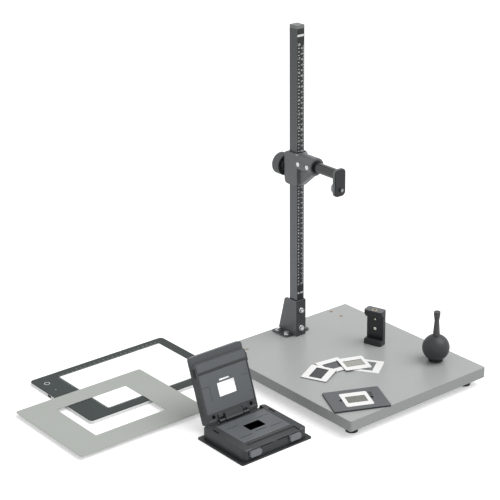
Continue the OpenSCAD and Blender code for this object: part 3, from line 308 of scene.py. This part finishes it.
# %% [markdown]
# The light pad is switched on. Its opal top is lit evenly from the edge, so it is a white plastic
# that gives off as much light as it needs to look white by itself. An area lamp under a clear sheet
# could do the same, but a little emission in the plastic is simpler and makes no noise.

# %% The lit opal top
OPAL_GLOW = 0.35
opal = surface("lit opal acrylic", "f4f6f6", rough=0.35, grain=3.0, depth=0.005, drift=0.01)
glow = opal.node_tree.nodes["Principled BSDF"].inputs
glow["Emission Color"].default_value = linear("fafbfb")
glow["Emission Strength"].default_value = OPAL_GLOW
print("the opal top glows at", OPAL_GLOW)

# %% [markdown]
# A solid from the model is loose triangles. Welding them makes round walls shade smoothly, splitting
# the sharp edges keeps flat faces flat, and weighted normals stop a small fillet from tinting the
# large face beside it. All three are modifiers, so the solid itself stays as it is. The softened
# edge that every moulded or coated part has comes from the finish, in the surface function above.

# %% Dress a solid
WELD_REACH, SHARP, ROUND_SHARP, BY_AREA = 0.002, 32, 40, 100


def dress(name, finish, sharp):
    """Give a solid its finish, and shade it smooth up to the angle that counts as sharp."""
    solid = nodes[name]
    solid.data.materials.clear()
    solid.data.materials.append(finish)
    solid.data.polygons.foreach_set("use_smooth", [True] * len(solid.data.polygons))
    weld = solid.modifiers.new("weld", "WELD")
    weld.merge_threshold = WELD_REACH * MM
    crisp = solid.modifiers.new("crisp", "EDGE_SPLIT")
    crisp.split_angle = radians(sharp)
    level = solid.modifiers.new("level", "WEIGHTED_NORMAL")
    level.weight = BY_AREA


def dress_all(group, finishes, sharp=SHARP):
    """Dress each solid of a group, and say how many there are."""
    for name, finish in finishes.items():
        dress(name, finish, sharp)
    print(group + ":", len(finishes), "solids dressed")


print("edges over", SHARP, "degrees stay sharp")

# %% [markdown]
# The stand is dressed first: a laminated board with a plastic strip round its edge, rubber feet and
# brass inserts, and a powder coated tube that is bolted to a bracket. The bolts and screws are
# plated, so they stay bright against the black.

# %% The stand
dress_all("stand", {
    "baseboard": melamine, "edge_banding": edge_strip, "rubber_feet": rubber, "foot_screws": zinc_steel,
    "threaded_inserts": turned_brass, "column_bracket": powder_coat, "bracket_screws": zinc_steel,
    "column_bolts": zinc_steel, "column_nuts": zinc_steel, "column": powder_coat_column,
    "column_cap": cap_abs, "scale_strip": strip_film})

# %% [markdown]
# The carriage is powder coated like the bracket, and its arm is a tube in black gloss enamel. The
# liners, the shoe and the collar are plastic, so that nothing scratches the column.

# %% The carriage, its clamp and its arm
dress_all("carriage", {
    "carriage_housing": powder_coat, "carriage_liners": black_nylon, "arm_collar": black_abs_and_shade,
    "arm_set_screws": zinc_steel, "arm_tube": gloss_enamel, "camera_plate": powder_coat,
    "camera_seat_pad": rubber, "camera_screw": ground_steel, "clamp_shoe": black_nylon,
    "clamp_screw": zinc_steel, "clamp_knob": black_abs_and_shade})

# %% [markdown]
# The pad is a white case with a dark printed border under its clear top. The light guide and its LED
# strip lie inside. The masking sheet on it is matt PVC.

# %% The light pad and the masking sheet
dress_all("light pad", {
    "pad_housing": case_abs, "pad_bezel": bezel_print, "pad_diffuser": opal,
    "pad_light_guide": clear_acrylic, "pad_led_strip": clear_acrylic, "pad_touch_key": bezel_print,
    "pad_power_socket": black_abs_and_shade, "pad_feet": rubber, "mask_sheet": mask_pvc})

# %% [markdown]
# The film holder's frames are grained, while its gates are smooth, so the gates look a shade lighter.
# The hinge pin is blackened, because a bright pin would shine through the hinge.

# %% The film holder
dress_all("film holder", {
    "holder_plate": plate_abs, "holder_base": base_abs, "holder_gate": smooth_abs,
    "holder_hinge_pin": blackened_steel, "holder_button_left": button_abs_and_highlight,
    "holder_button_right": button_abs_and_highlight, "lid_frame": grained_abs, "lid_gate": lid_abs,
    "lid_catch_bar": smooth_abs, "lid_corner_pads": grained_abs, "lid_side_clips": black_abs_and_shade})

# %% [markdown]
# The insert holds one framed slide, and four more lie loose on the board. The loose films start out
# with one finish and are told apart further down. On the phone clamp only the threads show metal,
# because its rods and its spring lie inside.

# %% The slide insert, the slides and the phone clamp
dress_all("slides", {
    "slide_insert": insert_abs, "insert_clip": black_abs_and_shade, "insert_slide_mount": mount_plastic,
    "insert_slide_film": film_yellow, "loose_slide_mounts": mount_plastic,
    "loose_slide_films": film_dense})
dress_all("phone clamp", {
    "phone_clamp_body": clamp_abs, "phone_clamp_jaw": clamp_abs, "phone_clamp_rods": ground_steel,
    "phone_clamp_spring": ground_steel, "phone_clamp_face_thread": blackened_steel,
    "phone_clamp_top_thread": nickel_brass, "phone_clamp_grips": rubber})

# %% [markdown]
# The blower is one silicone moulding: a round bulb, a smooth neck with a wider mouth, and a valve
# under it. All of it is round, so a larger angle than elsewhere still counts as smooth.

# %% The dust blower
dress_all("blower", {"blower_bulb": blower_rubber, "blower_nozzle": neck_rubber,
                     "blower_valve": blower_rubber}, ROUND_SHARP)

# %% [markdown]
# Some solids carry more than one tone. They could be cut apart, or painted with a mask, but it is
# simpler to sort their faces by where they lie and which way they look. Each sort adds one finish to
# the solid and leaves its shape as it is. The normal's z tells a top from a wall.

# %% Sort faces into another finish
TOP, WALL = 0.9, 0.5


def tint(name, finish, test):
    """Give another finish to the faces whose middle, in millimetres, and normal pass a test."""
    solid = nodes[name]
    solid.data.materials.append(finish)
    last = len(solid.data.materials) - 1
    count = 0
    for face in solid.data.polygons:
        if test(face.center / MM, face.normal):
            face.material_index = last
            count += 1
    print("tinted:", name, count, "faces in", finish.name)


def middle(name):
    low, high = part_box(name)
    return (low + high) / 2 / MM


def is_top(way):
    return way.z > TOP


def is_wall(way):
    return abs(way.z) < WALL


board = middle("baseboard")
print("the board's middle:", *(round(along, 2) for along in board), "mm")

# %% [markdown]
# The slide mounts' side walls get a painted shade that shows as a dark line round their edge, except
# on the frontmost. The four loose films are one node, and so are their mounts, so a face belongs to
# the slide whose middle it lies nearest to. The middles are measured from the board's, in millimetres.

# %% The loose slides
SLIDES = {film_dense: (-85, -16.5), film_dark: (-41.5, -7.5), film_thin: (-9.5, -27), film_grey: (4.3, -49)}


def nearest(spot):
    return min(SLIDES, key=lambda film: (spot.xy - board.xy - Vector(SLIDES[film])).length)


for film in SLIDES:
    tint("loose_slide_films", film, lambda spot, way, film=film: nearest(spot) is film)
# Painted shade on the side walls of all mounts but the frontmost.
tint("loose_slide_mounts", mount_painted_shade, lambda spot, way: is_wall(way) and nearest(spot) is not film_grey)

# %% [markdown]
# Grooves and light wells get a painted shade inside. On the holder's gate these are the floor of
# each groove and the walls round the window, and on the base and the plate the walls below it, so
# that no light patch shows through the window. The recess behind the base's front wall gets the
# painted shade, too. That test stops a little below the gate's top, so it spares the ledge there.

# %% Painted shade in the grooves, wells and recess of the holder
GROOVE_DEEP, WELL_DEEP, RECESS_DEEP = 0.3, 6, 1.7
GATE_WELL, WINDOW_REACH = 36, 56
WELL_HALF_X, WELL_HALF_Y = 50, 40
RECESS_FROM, RECESS_TO, RECESS_END, NOT_FRONT = 0.2, 16, 8, -0.5
gate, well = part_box("holder_gate"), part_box("holder_base")
gate_top, well_mid = gate[1].z / MM, middle("holder_plate")
front, side = well[0].y / MM, (well[1].x - well[0].x) / MM / 2


def in_well(spot, way):
    return (is_wall(way) and spot.z < gate_top - WELL_DEEP and abs(spot.x - well_mid.x) < WELL_HALF_X
            and abs(spot.y - well_mid.y) < WELL_HALF_Y)


def in_recess(spot, way):
    return (way.y > NOT_FRONT and front + RECESS_FROM < spot.y < front + RECESS_TO
            and spot.z < gate_top - RECESS_DEEP and abs(spot.x - well_mid.x) < side - RECESS_END)


def wall_within(reach):
    return lambda spot, way: is_wall(way) and (spot.xy - well_mid.xy).length < reach


# Painted shade on the floors of the gate's grooves.
tint("holder_gate", groove_and_joint_shade, lambda spot, way: is_top(way) and spot.z < gate_top - GROOVE_DEEP)
# Painted shade on the walls round the window, in the well, in the recess and in the plate.
tint("holder_gate", shade_and_magnet_black, wall_within(GATE_WELL))
tint("holder_base", shade_and_magnet_black, in_well)
tint("holder_base", shade_and_magnet_black, in_recess)
tint("holder_plate", shade_and_magnet_black, wall_within(WINDOW_REACH))

# %% [markdown]
# The last tones are painted light and shade: painted light on the knob's ribbed rim beside its
# blacker face, on the lip at the top of the open lid and on the top of the phone clamp's jaw, and
# painted shade on the bracket's front and flange and on the sides of the insert.

# %% Painted light and shade on the rim, lip, bracket, clamp top and insert
KNOB_RIM, LIP_DEEP, FRONTWARD, FLANGE_HIGH = 0.7, 14, -0.9, 12
lid_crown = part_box("lid_frame")[1].z / MM
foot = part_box("column_bracket")[0].z / MM
# Painted light: the knob's rim is drawn lighter than its face.
tint("clamp_knob", knob_rim_painted_light, lambda spot, way: abs(way.y) < KNOB_RIM)
# Painted light: the top band of the open lid is drawn lighter.
tint("lid_frame", lid_top_painted_light, lambda spot, way: spot.z > lid_crown - LIP_DEEP)
# Painted shade: the bracket's front and the top of its flange are drawn darker.
tint("column_bracket", painted_shade_coat,
     lambda spot, way: way.y < FRONTWARD or (is_top(way) and spot.z < foot + FLANGE_HIGH))
# Painted light: the clamp jaw's top is drawn lighter than its sides.
tint("phone_clamp_jaw", clamp_top, lambda spot, way: is_top(way))
# Painted shade: the insert's side walls are drawn black.
tint("slide_insert", black_abs_and_shade, lambda spot, way: is_wall(way))

# %% [markdown]
# Printing is modelled as very thin flat shapes a twentieth of a millimetre above the surface. A
# texture would do from far away, but thin shapes stay sharp at any distance. Bars are made from a grid
# of one cell that is scaled and moved, discs from a filled circle, and figures are text turned into
# mesh.

# %% Printing helpers
INK, DISC_SIDES = 0.05, 32
upright = Matrix.Rotation(pi / 2, 4, "X")


def bar(bm, x, y, wide, high):
    """A flat printed bar, wide along x and high along y, in millimetres."""
    made = bmesh.ops.create_grid(bm, x_segments=1, y_segments=1, size=0.5)["verts"]
    bmesh.ops.scale(bm, vec=(wide, high, 1), verts=made)
    bmesh.ops.translate(bm, vec=(x, y, 0), verts=made)


def disc(bm, x, y, radius):
    circle = bmesh.ops.create_circle(bm, cap_ends=True, radius=radius, segments=DISC_SIDES)["verts"]
    bmesh.ops.translate(bm, vec=(x, y, 0), verts=circle)


def words(bm, text, x, y, size, bold=0.0):
    """Printed figures, centred at x, y, with a cap height of about 0.7 of size, in millimetres."""
    curve = bpy.data.curves.new("figures", "FONT")
    curve.body, curve.size, curve.offset = text, size, bold
    curve.align_x, curve.align_y = "CENTER", "CENTER"
    holder = bpy.data.objects.new("figures", curve)
    bpy.context.scene.collection.objects.link(holder)
    bpy.context.view_layer.update()
    shape = bpy.data.meshes.new_from_object(holder.evaluated_get(bpy.context.evaluated_depsgraph_get()))
    shape.transform(Matrix.Translation((x, y, 0)))
    bm.from_mesh(shape)
    bpy.data.objects.remove(holder)
    bpy.data.curves.remove(curve)
    bpy.data.meshes.remove(shape)


print("ink lies", INK, "mm above its surface")

# %% [markdown]
# A piece is drawn in millimetres about a handy origin, and one matrix then scales it to metres and
# puts it in its place. Its object could be moved there, but moving the mesh keeps the object at the
# origin, as the model's solids are. Last, the piece is told which body it rides on, so it moves with
# that body's joint.

# %% Put a piece in its place
def piece(bm, name, finish, body, place, smooth=False):
    """A finished piece from a bmesh in millimetres: scaled to metres and put in its place."""
    bmesh.ops.transform(bm, matrix=place @ Matrix.Scale(MM, 4), verts=bm.verts)
    mesh = bpy.data.meshes.new(name)
    bm.to_mesh(mesh)
    bm.free()
    mesh.polygons.foreach_set("use_smooth", [smooth] * len(mesh.polygons))
    made = bpy.data.objects.new(name, mesh)
    bpy.context.scene.collection.objects.link(made)
    mesh.materials.append(finish)
    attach(made, body)
    print("piece:", name, "with", len(mesh.polygons), "faces on", body)


# %% [markdown]
# The column's scale has centimetres on its right edge and inches on its left. Both start at nought a
# little above the bracket, and their last figures are 45 cm and 18 inches. The quarter inches are
# short dashes, and the millimetres are fine ticks at the very edge. One loop over the millimetres and
# one over the quarter inches draw it all, so every mark is in its true place.

# %% The scale on the column
NOUGHT, LONGEST, INCHES, INCH = 31.9, 455, 18, 25.4
# Each tick: how far its middle lies inside the strip's edge, its width and its height.
CM_TICK, HALF_CM_TICK, MM_TICK = (1.3, 2.4, 0.8), (1.1, 2.0, 0.6), (0.8, 1.5, 0.35)
CM_FIGURES_X, CM_FIGURE, TEN_CM_FIGURE = 2.7, 4.6, 5.8
INCHES_X, INCH_FIGURE, DASH_WIDE, DASH_HIGH = -4.0, 6.4, 2.6, 1.3
CM_UNIT_X, UNITS_UP, UNIT_SIZE, UNIT_BOLD = 3.9, 14.0, 6.0, 0.22
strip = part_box("scale_strip")
strip_mid, edge_x = (strip[0].x + strip[1].x) / 2, (strip[1].x - strip[0].x) / MM / 2
bm = bmesh.new()
for k in range(LONGEST + 1):
    inset, wide, high = MM_TICK if k % 5 else HALF_CM_TICK if k % 10 else CM_TICK
    bar(bm, edge_x - inset, k + NOUGHT, wide, high)
    if k % 10 == 0:
        words(bm, str(k // 10), CM_FIGURES_X, k + NOUGHT, CM_FIGURE if k % 100 else TEN_CM_FIGURE)
for k in range(INCHES * 4 + 1):
    up = k * INCH / 4 + NOUGHT
    if k % 4:
        bar(bm, INCHES_X, up, DASH_WIDE, DASH_HIGH)
    else:
        words(bm, str(k // 4), INCHES_X, up, INCH_FIGURE)
for text, x in (("in", INCHES_X), ("cm", CM_UNIT_X)):
    words(bm, text, x, UNITS_UP, UNIT_SIZE, bold=UNIT_BOLD)
column_face = Matrix.Translation((strip_mid, strip[0].y - INK * MM, strip[0].z))
piece(bm, "column_scale_print", white_ink, "outfit", column_face @ upright)

# %% [markdown]
# A plain white bar crosses the strip above the scale's end. It could be one more bar of the scale,
# but it is measured from the strip's top and the scale from its foot, so it is a piece of its own.

# %% The white bar at the column's top
TOP_BAR_HIGH, TOP_BAR_DROP = 3.8, 12
bm = bmesh.new()
bar(bm, 0, 0, 2 * edge_x, TOP_BAR_HIGH)
strip_top = Matrix.Translation((strip_mid, strip[0].y - INK * MM, strip[1].z - TOP_BAR_DROP * MM))
piece(bm, "column_top_bar", white_ink, "outfit", strip_top @ upright)

# %% [markdown]
# The column stands in its bracket with a joint round it, and its shade is painted as a black line on
# its front and on its left. Two slim bars at the bracket's top edge draw it.

# %% The painted shade at the column's foot
JOINT_WIDE, JOINT_HIGH, JOINT_DROP = 19.0, 1.6, 0.9
left_turn = Matrix.Rotation(-pi / 2, 4, "Z")
left_face = Matrix.Translation((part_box("column")[0].x - INK * MM, middle("column").y * MM, strip[0].z))
# Painted shade in the joint at the column's foot.
for name, place in (("column_joint_shade_front", column_face), ("column_joint_shade_left", left_face @ left_turn)):
    bm = bmesh.new()
    bar(bm, 0, JOINT_HIGH / 2 - JOINT_DROP, JOINT_WIDE, JOINT_HIGH)
    piece(bm, name, groove_and_joint_shade, "outfit", place @ upright)

# %% [markdown]
# The pad's dark border carries a ruler round the lit field: ticks behind it, in front of it and on
# its left, with figures behind it only. It lies flat, so the same bars are put down without being
# stood up, and the edges of the lit field give the ticks their places.

# %% The ruler on the pad
TICK_GAP, TICK_THIN, RULER_START, RULER_SHORT = 1.2, 0.35, 2, 3
TICK_LONG, TICK_HALF, TICK_SHORT = 4.5, 3.2, 1.8
RULER_FIGURES_Y, RULER_FIGURE = 8.2, 4.0
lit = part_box("pad_diffuser")
x0, x1, y0, y1 = lit[0].x / MM, lit[1].x / MM, lit[0].y / MM, lit[1].y / MM
pad_top = Matrix.Translation((0, 0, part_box("pad_bezel")[1].z + INK * MM))


def tick(k):
    return TICK_SHORT if k % 5 else TICK_HALF if k % 10 else TICK_LONG


bm = bmesh.new()
for k in range(int(x1 - x0) - RULER_SHORT):
    for y, way in ((y1 + TICK_GAP, 1), (y0 - TICK_GAP, -1)):
        bar(bm, x0 + RULER_START + k, y + way * tick(k) / 2, TICK_THIN, tick(k))
    if k % 10 == 0 and k:
        words(bm, str(k // 10), x0 + RULER_START + k, y1 + RULER_FIGURES_Y, RULER_FIGURE)
for k in range(int(y1 - y0) - RULER_SHORT):
    bar(bm, x0 - TICK_GAP - tick(k) / 2, y0 + RULER_START + k, tick(k), TICK_THIN)
piece(bm, "pad_ruler_print", pale_ink, "outfit", pad_top)

# %% [markdown]
# The power key is only a printed ring on the touch panel, with a small round lamp mark in front of
# it. A ring could be spun from a short bar, but a circle that is filled, inset and emptied in its
# middle takes fewer steps.

# %% The key's ring and lamp
KEY_R, KEY_LINE, KEY_SIDES = 5.4, 1.2, 48
LAMP_X, LAMP_Y, LAMP_R = -1.1, -31.3, 0.9
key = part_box("pad_touch_key")
key_x, key_y = (key[0].x + key[1].x) / 2 / MM, (key[0].y + key[1].y) / 2 / MM
bm = bmesh.new()
circle = bmesh.ops.create_circle(bm, cap_ends=True, radius=KEY_R, segments=KEY_SIDES)["verts"]
bmesh.ops.translate(bm, vec=(key_x, key_y, 0), verts=circle)
inside = bm.faces[:]
bmesh.ops.inset_region(bm, faces=inside, thickness=KEY_LINE, use_even_offset=True, use_boundary=True)
bmesh.ops.delete(bm, geom=inside, context="FACES_ONLY")
disc(bm, key_x + LAMP_X, key_y + LAMP_Y, LAMP_R)
piece(bm, "key_ring_print", white_ink, "outfit", pad_top)

# %% [markdown]
# The board's threaded inserts show brass inside, so a brass floor lies a little below each mouth. A
# modelled thread would be finer than a pixel. The floors are placed from the corners of the inserts'
# own box, so they follow the board.

# %% The floors of the inserts
INSERT_R, FLOOR_R, FLOOR_DEEP = 3.75, 2.45, 0.7
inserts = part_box("threaded_inserts")
bm = bmesh.new()
for x in (inserts[0].x / MM + INSERT_R, inserts[1].x / MM - INSERT_R):
    for y in (inserts[0].y / MM + INSERT_R, inserts[1].y / MM - INSERT_R):
        disc(bm, x, y, FLOOR_R)
floors = Matrix.Translation((0, 0, inserts[1].z - FLOOR_DEEP * MM))
piece(bm, "insert_floors", turned_brass, "outfit", floors)

# %% [markdown]
# The buttons sit in rounded pockets, and a fine joint runs round the base's gate; the shade in both
# is painted as black outlines. The gate's front edge is bevelled, and a lighter bar paints its
# highlight. All of these are only a pixel or two wide, so they are drawn as bars and not cut into the
# solids.

# %% Painted shade and highlight on the holder's base
BUTTON_GAP, BUTTON_LINE, GATE_LINE, HIGHLIGHT_WIDE, HIGHLIGHT_IN = 0.9, 0.9, 0.6, 1.8, 1.3


def outline(bm, x0, x1, y0, y1, wide):
    for y in (y0, y1):
        bar(bm, (x0 + x1) / 2, y, x1 - x0 + wide, wide)
    for x in (x0, x1):
        bar(bm, x, (y0 + y1) / 2, wide, y1 - y0 - wide)


def above_gate(layers):
    return Matrix.Translation((0, 0, gate[1].z + layers * INK * MM))


# Painted shade round the buttons and round the gate.
bm = bmesh.new()
for name in ("holder_button_left", "holder_button_right"):
    low, high = (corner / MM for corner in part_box(name))
    outline(bm, low.x - BUTTON_GAP, high.x + BUTTON_GAP, low.z - BUTTON_GAP, high.z + BUTTON_GAP, BUTTON_LINE)
base_face = Matrix.Translation((0, well[0].y - INK * MM, 0))
piece(bm, "button_pocket_shade", groove_and_joint_shade, "outfit", base_face @ upright)
low, high = (corner / MM for corner in gate)
bm = bmesh.new()
outline(bm, low.x, high.x, low.y, high.y, GATE_LINE)
piece(bm, "gate_joint_shade", groove_and_joint_shade, "outfit", above_gate(2))
bm = bmesh.new()
# Painted highlight on the gate's bevelled front edge.
bar(bm, (low.x + high.x) / 2, low.y + HIGHLIGHT_IN, high.x - low.x - 2 * HIGHLIGHT_IN, HIGHLIGHT_WIDE)
piece(bm, "gate_front_painted_highlight", button_abs_and_highlight, "outfit", above_gate(1))

# %% [markdown]
# The lid's inner face has fine joint lines and two tiny pins, drawn in painted shade, and a black
# magnet in each lower corner pad, with a painted highlight below the pad where its rounded foot
# catches the light. A trim fills the recess above the gate. All of them are placed on the lid as if it
# were closed: each at an x from the holder's middle, and at a distance from the hinge pin. One matrix
# then turns them open with the lid.

# %% Small forms on the lid
OPEN, GATE_FACE, SKIN, TRIM_LIFT = radians(110), 3.3, 2.3, 0.05
JOINT_LINES = ((-42, 62.6, 16.5, 0.5), (-33.8, 49, 0.5, 27), (44, 62, 14, 0.5))
PINS, PIN_R = ((47.6, 69.8), (47.6, 31.1)), 0.8
MAGNETS, MAGNET_R = ((-39.4, 9.9), (42.4, 9.9)), 3.4
# Painted highlights below the lower corner pads.
PAD_HIGHLIGHTS = ((-43.0, 4.2, 15.5, 1.2), (45.6, 4.2, 15.5, 1.2))
TRIMS = ((1.5, 87.6, 104, 2.2),)
pin = middle("holder_hinge_pin")
lid_place = Matrix.Translation(Vector((well_mid.x, pin.y, pin.z)) * MM) @ Matrix.Rotation(-OPEN, 4, "X")


def on_lid(name, finish, up, bars=(), discs=(), radius=0.0):
    """Bars (x, distance from the pin, width, length) and discs (x, distance), at a height above the pin."""
    bm = bmesh.new()
    for x, away, wide, long in bars:
        bar(bm, x, -away, wide, long)
    for x, away in discs:
        disc(bm, x, -away, radius)
    piece(bm, name, finish, "holder_lid", lid_place @ Matrix.Translation((0, 0, up * MM)))


# Painted shade for the lid's joint lines and pins.
on_lid("lid_gate_shade_lines", groove_and_joint_shade, GATE_FACE - INK, bars=JOINT_LINES, discs=PINS, radius=PIN_R)
on_lid("lid_magnets", shade_and_magnet_black, SKIN - INK, discs=MAGNETS, radius=MAGNET_R)
# Painted highlights below the corner pads.
on_lid("lid_pad_painted_highlights", button_abs_and_highlight, SKIN - INK, bars=PAD_HIGHLIGHTS)
on_lid("lid_gate_trim", grained_abs, SKIN + TRIM_LIFT, bars=TRIMS)

# %% [markdown]
# Round the hinge pin lies a thin tube, which closes the hinge against light. The four corners of its
# wall are spun once round the pin and merged where they meet, which gives a closed ring. Spinning can
# turn a shape inside out, so its normals are worked out again.

# %% The tube round the hinge pin
TUBE_IN, TUBE_OUT, TUBE_HALF, TUBE_STEPS = 3.35, 3.7, 18.4, 48
bm = bmesh.new()
wall = [bm.verts.new((x, 0, r)) for x, r in ((-TUBE_HALF, TUBE_IN), (-TUBE_HALF, TUBE_OUT),
                                             (TUBE_HALF, TUBE_OUT), (TUBE_HALF, TUBE_IN))]
lines = [bm.edges.new((wall[k], wall[(k + 1) % 4])) for k in range(4)]
bmesh.ops.spin(bm, geom=wall + lines, cent=(0, 0, 0), axis=(1, 0, 0), angle=2 * pi, steps=TUBE_STEPS,
               use_merge=True)
bmesh.ops.recalc_face_normals(bm, faces=bm.faces[:])
piece(bm, "lid_hinge_tube", grained_abs, "holder_lid", lid_place)

# %% [markdown]
# The blower's bulb has a moulded ring, a slim torus that stands a third of a millimetre out of it on
# the side that looks at the camera. A small circle is moved out to the ring's own radius and spun
# once about the bulb's middle, and then the whole ring is turned to the camera and a little upwards.

# %% The ring on the blower
RING_SPREAD, RING_HALF, RING_OUT, RING_LIFT = radians(44), 0.9, 0.35, radians(13)
RING_SIDES, RING_STEPS = 12, 72
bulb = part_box("blower_bulb")
bulb_mid, bulb_r = (bulb[0] + bulb[1]) / 2, (bulb[1].x - bulb[0].x) / 2 / MM
bulb_mid.z = bulb[1].z - bulb_r * MM
reach = bulb_r + RING_OUT - RING_HALF
bm = bmesh.new()
circle = bmesh.ops.create_circle(bm, cap_ends=False, radius=RING_HALF, segments=RING_SIDES)["verts"]
bmesh.ops.rotate(bm, verts=circle, cent=(0, 0, 0), matrix=Matrix.Rotation(pi / 2, 3, "X"))
bmesh.ops.translate(bm, verts=circle, vec=(reach * sin(RING_SPREAD), 0, reach * cos(RING_SPREAD)))
bmesh.ops.spin(bm, geom=bm.verts[:] + bm.edges[:], cent=(0, 0, 0), axis=(0, 0, 1), angle=2 * pi,
               steps=RING_STEPS, use_merge=True)
bmesh.ops.recalc_face_normals(bm, faces=bm.faces[:])
facing = Matrix.Rotation(AZIMUTH, 4, "Z") @ Matrix.Rotation(pi / 2 - RING_LIFT, 4, "X")
piece(bm, "blower_moulded_ring", blower_rubber, "outfit", Matrix.Translation(bulb_mid) @ facing, smooth=True)

# %% [markdown]
# The clamp's back shows a bright tab in its upper slot and a bright bottom in its thread. Both are
# small nickel discs that face the way the clamp does, a little in front of the thread's middle.

# %% Small discs on the phone clamp
CLAMP_YAW = radians(-72.5)
# Each disc: its height above the thread's middle, its radius and its place along the thread.
CLAMP_DISCS = {"clamp_slot_tab": (18.8, 1.6, -1.1), "clamp_thread_bottom": (0, 3.1, -0.9)}
thread = middle("phone_clamp_face_thread")
faced = Matrix.Rotation(CLAMP_YAW, 4, "Z") @ upright
for name, (up, radius, deep) in CLAMP_DISCS.items():
    bm = bmesh.new()
    disc(bm, 0, 0, radius)
    away = Matrix.Rotation(CLAMP_YAW, 3, "Z") @ Vector((0, deep, 0))
    spot = Matrix.Translation((thread + Vector((0, 0, up)) + away) * MM)
    piece(bm, name, bright_nickel, "outfit", spot @ faced)

# %% [markdown]
# The room is a plain white sweep with no corner in view, so one flat square is enough for it, as long
# as it reaches far past the picture.

# %% The floor
FLOOR_HALF = 14
bm = bmesh.new()
bmesh.ops.create_grid(bm, x_segments=1, y_segments=1, size=FLOOR_HALF)
mesh = bpy.data.meshes.new("floor")
bm.to_mesh(mesh)
bm.free()
floor = bpy.data.objects.new("floor", mesh)
bpy.context.scene.collection.objects.link(floor)
print("floor:", 2 * FLOOR_HALF, "m wide")

# %% [markdown]
# The floor's paper is a diffuse white that catches soft shadows. Only the camera sees some white added
# to it, so that it stays pale without lighting the set more. The floor right under the film holder is
# painted black, a painted shade seen through the holder's window. One distance from the holder's
# middle turns both whites off there.

# %% The floor's paper
FLOOR_ROUGH, FLOOR_LIFT, PAPER = 0.9, 0.40, "fafafa"
paper = bpy.data.materials.new("white studio paper")
paper.use_nodes = True
tree = paper.node_tree
matt = tree.nodes["Principled BSDF"]
matt.inputs["Roughness"].default_value = FLOOR_ROUGH
matt.inputs["Specular IOR Level"].default_value = 0.0
seen = add(tree, "ShaderNodeLightPath").outputs["Is Camera Ray"]
spot = add(tree, "ShaderNodeTexCoord").outputs["Object"]
hole = (well_mid.x * MM, well_mid.y * MM, 0)
away = add(tree, "ShaderNodeVectorMath", {0: spot, 1: hole}, operation="DISTANCE").outputs["Value"]
# Painted shade: the floor is black within this distance of the holder's middle.
clear = add(tree, "ShaderNodeMath", {0: away, 1: WINDOW_REACH * MM}, operation="GREATER_THAN").outputs[0]
white = add(tree, "ShaderNodeMath", {0: clear, 1: linear(PAPER)[0]}, operation="MULTIPLY").outputs[0]
tree.links.new(white, matt.inputs["Base Color"])
power = add(tree, "ShaderNodeMath", {0: clear, 1: FLOOR_LIFT}, operation="MULTIPLY").outputs[0]
lift = add(tree, "ShaderNodeEmission", {"Color": (1, 1, 1, 1), "Strength": power}).outputs[0]
both = add(tree, "ShaderNodeAddShader", {0: matt.outputs[0], 1: lift}).outputs[0]
pick = add(tree, "ShaderNodeMixShader", {0: seen, 1: matt.outputs[0], 2: both}).outputs[0]
tree.links.new(pick, tree.nodes["Material Output"].inputs["Surface"])
floor.data.materials.append(paper)
print("paper:", PAPER, "with a lift of", FLOOR_LIFT)

# %% [markdown]
# The camera, the gloss and the clear parts see the world as plain white, as in a studio, and the set
# is lit by half as much, so that pale things keep their tone. A world is simpler than a ring of soft
# boxes and gives the same even light.

# %% The world
ROOM_LIGHT, ROOM_SEEN = 0.50, 1.0
world = bpy.data.worlds.new("white studio")
bpy.context.scene.world = world
world.use_nodes = True
tree = world.node_tree
rays = add(tree, "ShaderNodeLightPath").outputs
plain = rays["Is Camera Ray"]
for kind in ("Is Glossy Ray", "Is Transmission Ray"):
    plain = add(tree, "ShaderNodeMath", {0: plain, 1: rays[kind]}, operation="MAXIMUM").outputs[0]
level = add(tree, "ShaderNodeMapRange", {"Value": plain, "To Min": ROOM_LIGHT, "To Max": ROOM_SEEN})
tree.nodes["Background"].inputs["Color"].default_value = (1, 1, 1, 1)
tree.links.new(level.outputs["Result"], tree.nodes["Background"].inputs["Strength"])
print("world:", ROOM_LIGHT, "as light and", ROOM_SEEN, "as seen")

# %% [markdown]
# A broad sun from above the front right makes the tops brightest, the fronts a little darker and the
# left faces darkest, as in the photograph. Its width gives the soft edges of the shadows.

# %% The sun
SUN_POWER, SUN_WIDTH, SUN_WAY = 1.75, radians(52), (-0.35, 0.38, -0.86)
sun = bpy.data.objects.new("soft sun", bpy.data.lights.new("soft sun", "SUN"))
bpy.context.scene.collection.objects.link(sun)
sun.data.energy, sun.data.angle = SUN_POWER, SUN_WIDTH
sun.rotation_euler = Vector(SUN_WAY).to_track_quat("-Z", "Y").to_euler()
bpy.context.scene.view_settings.view_transform = "Standard"
print("sun:", SUN_POWER)
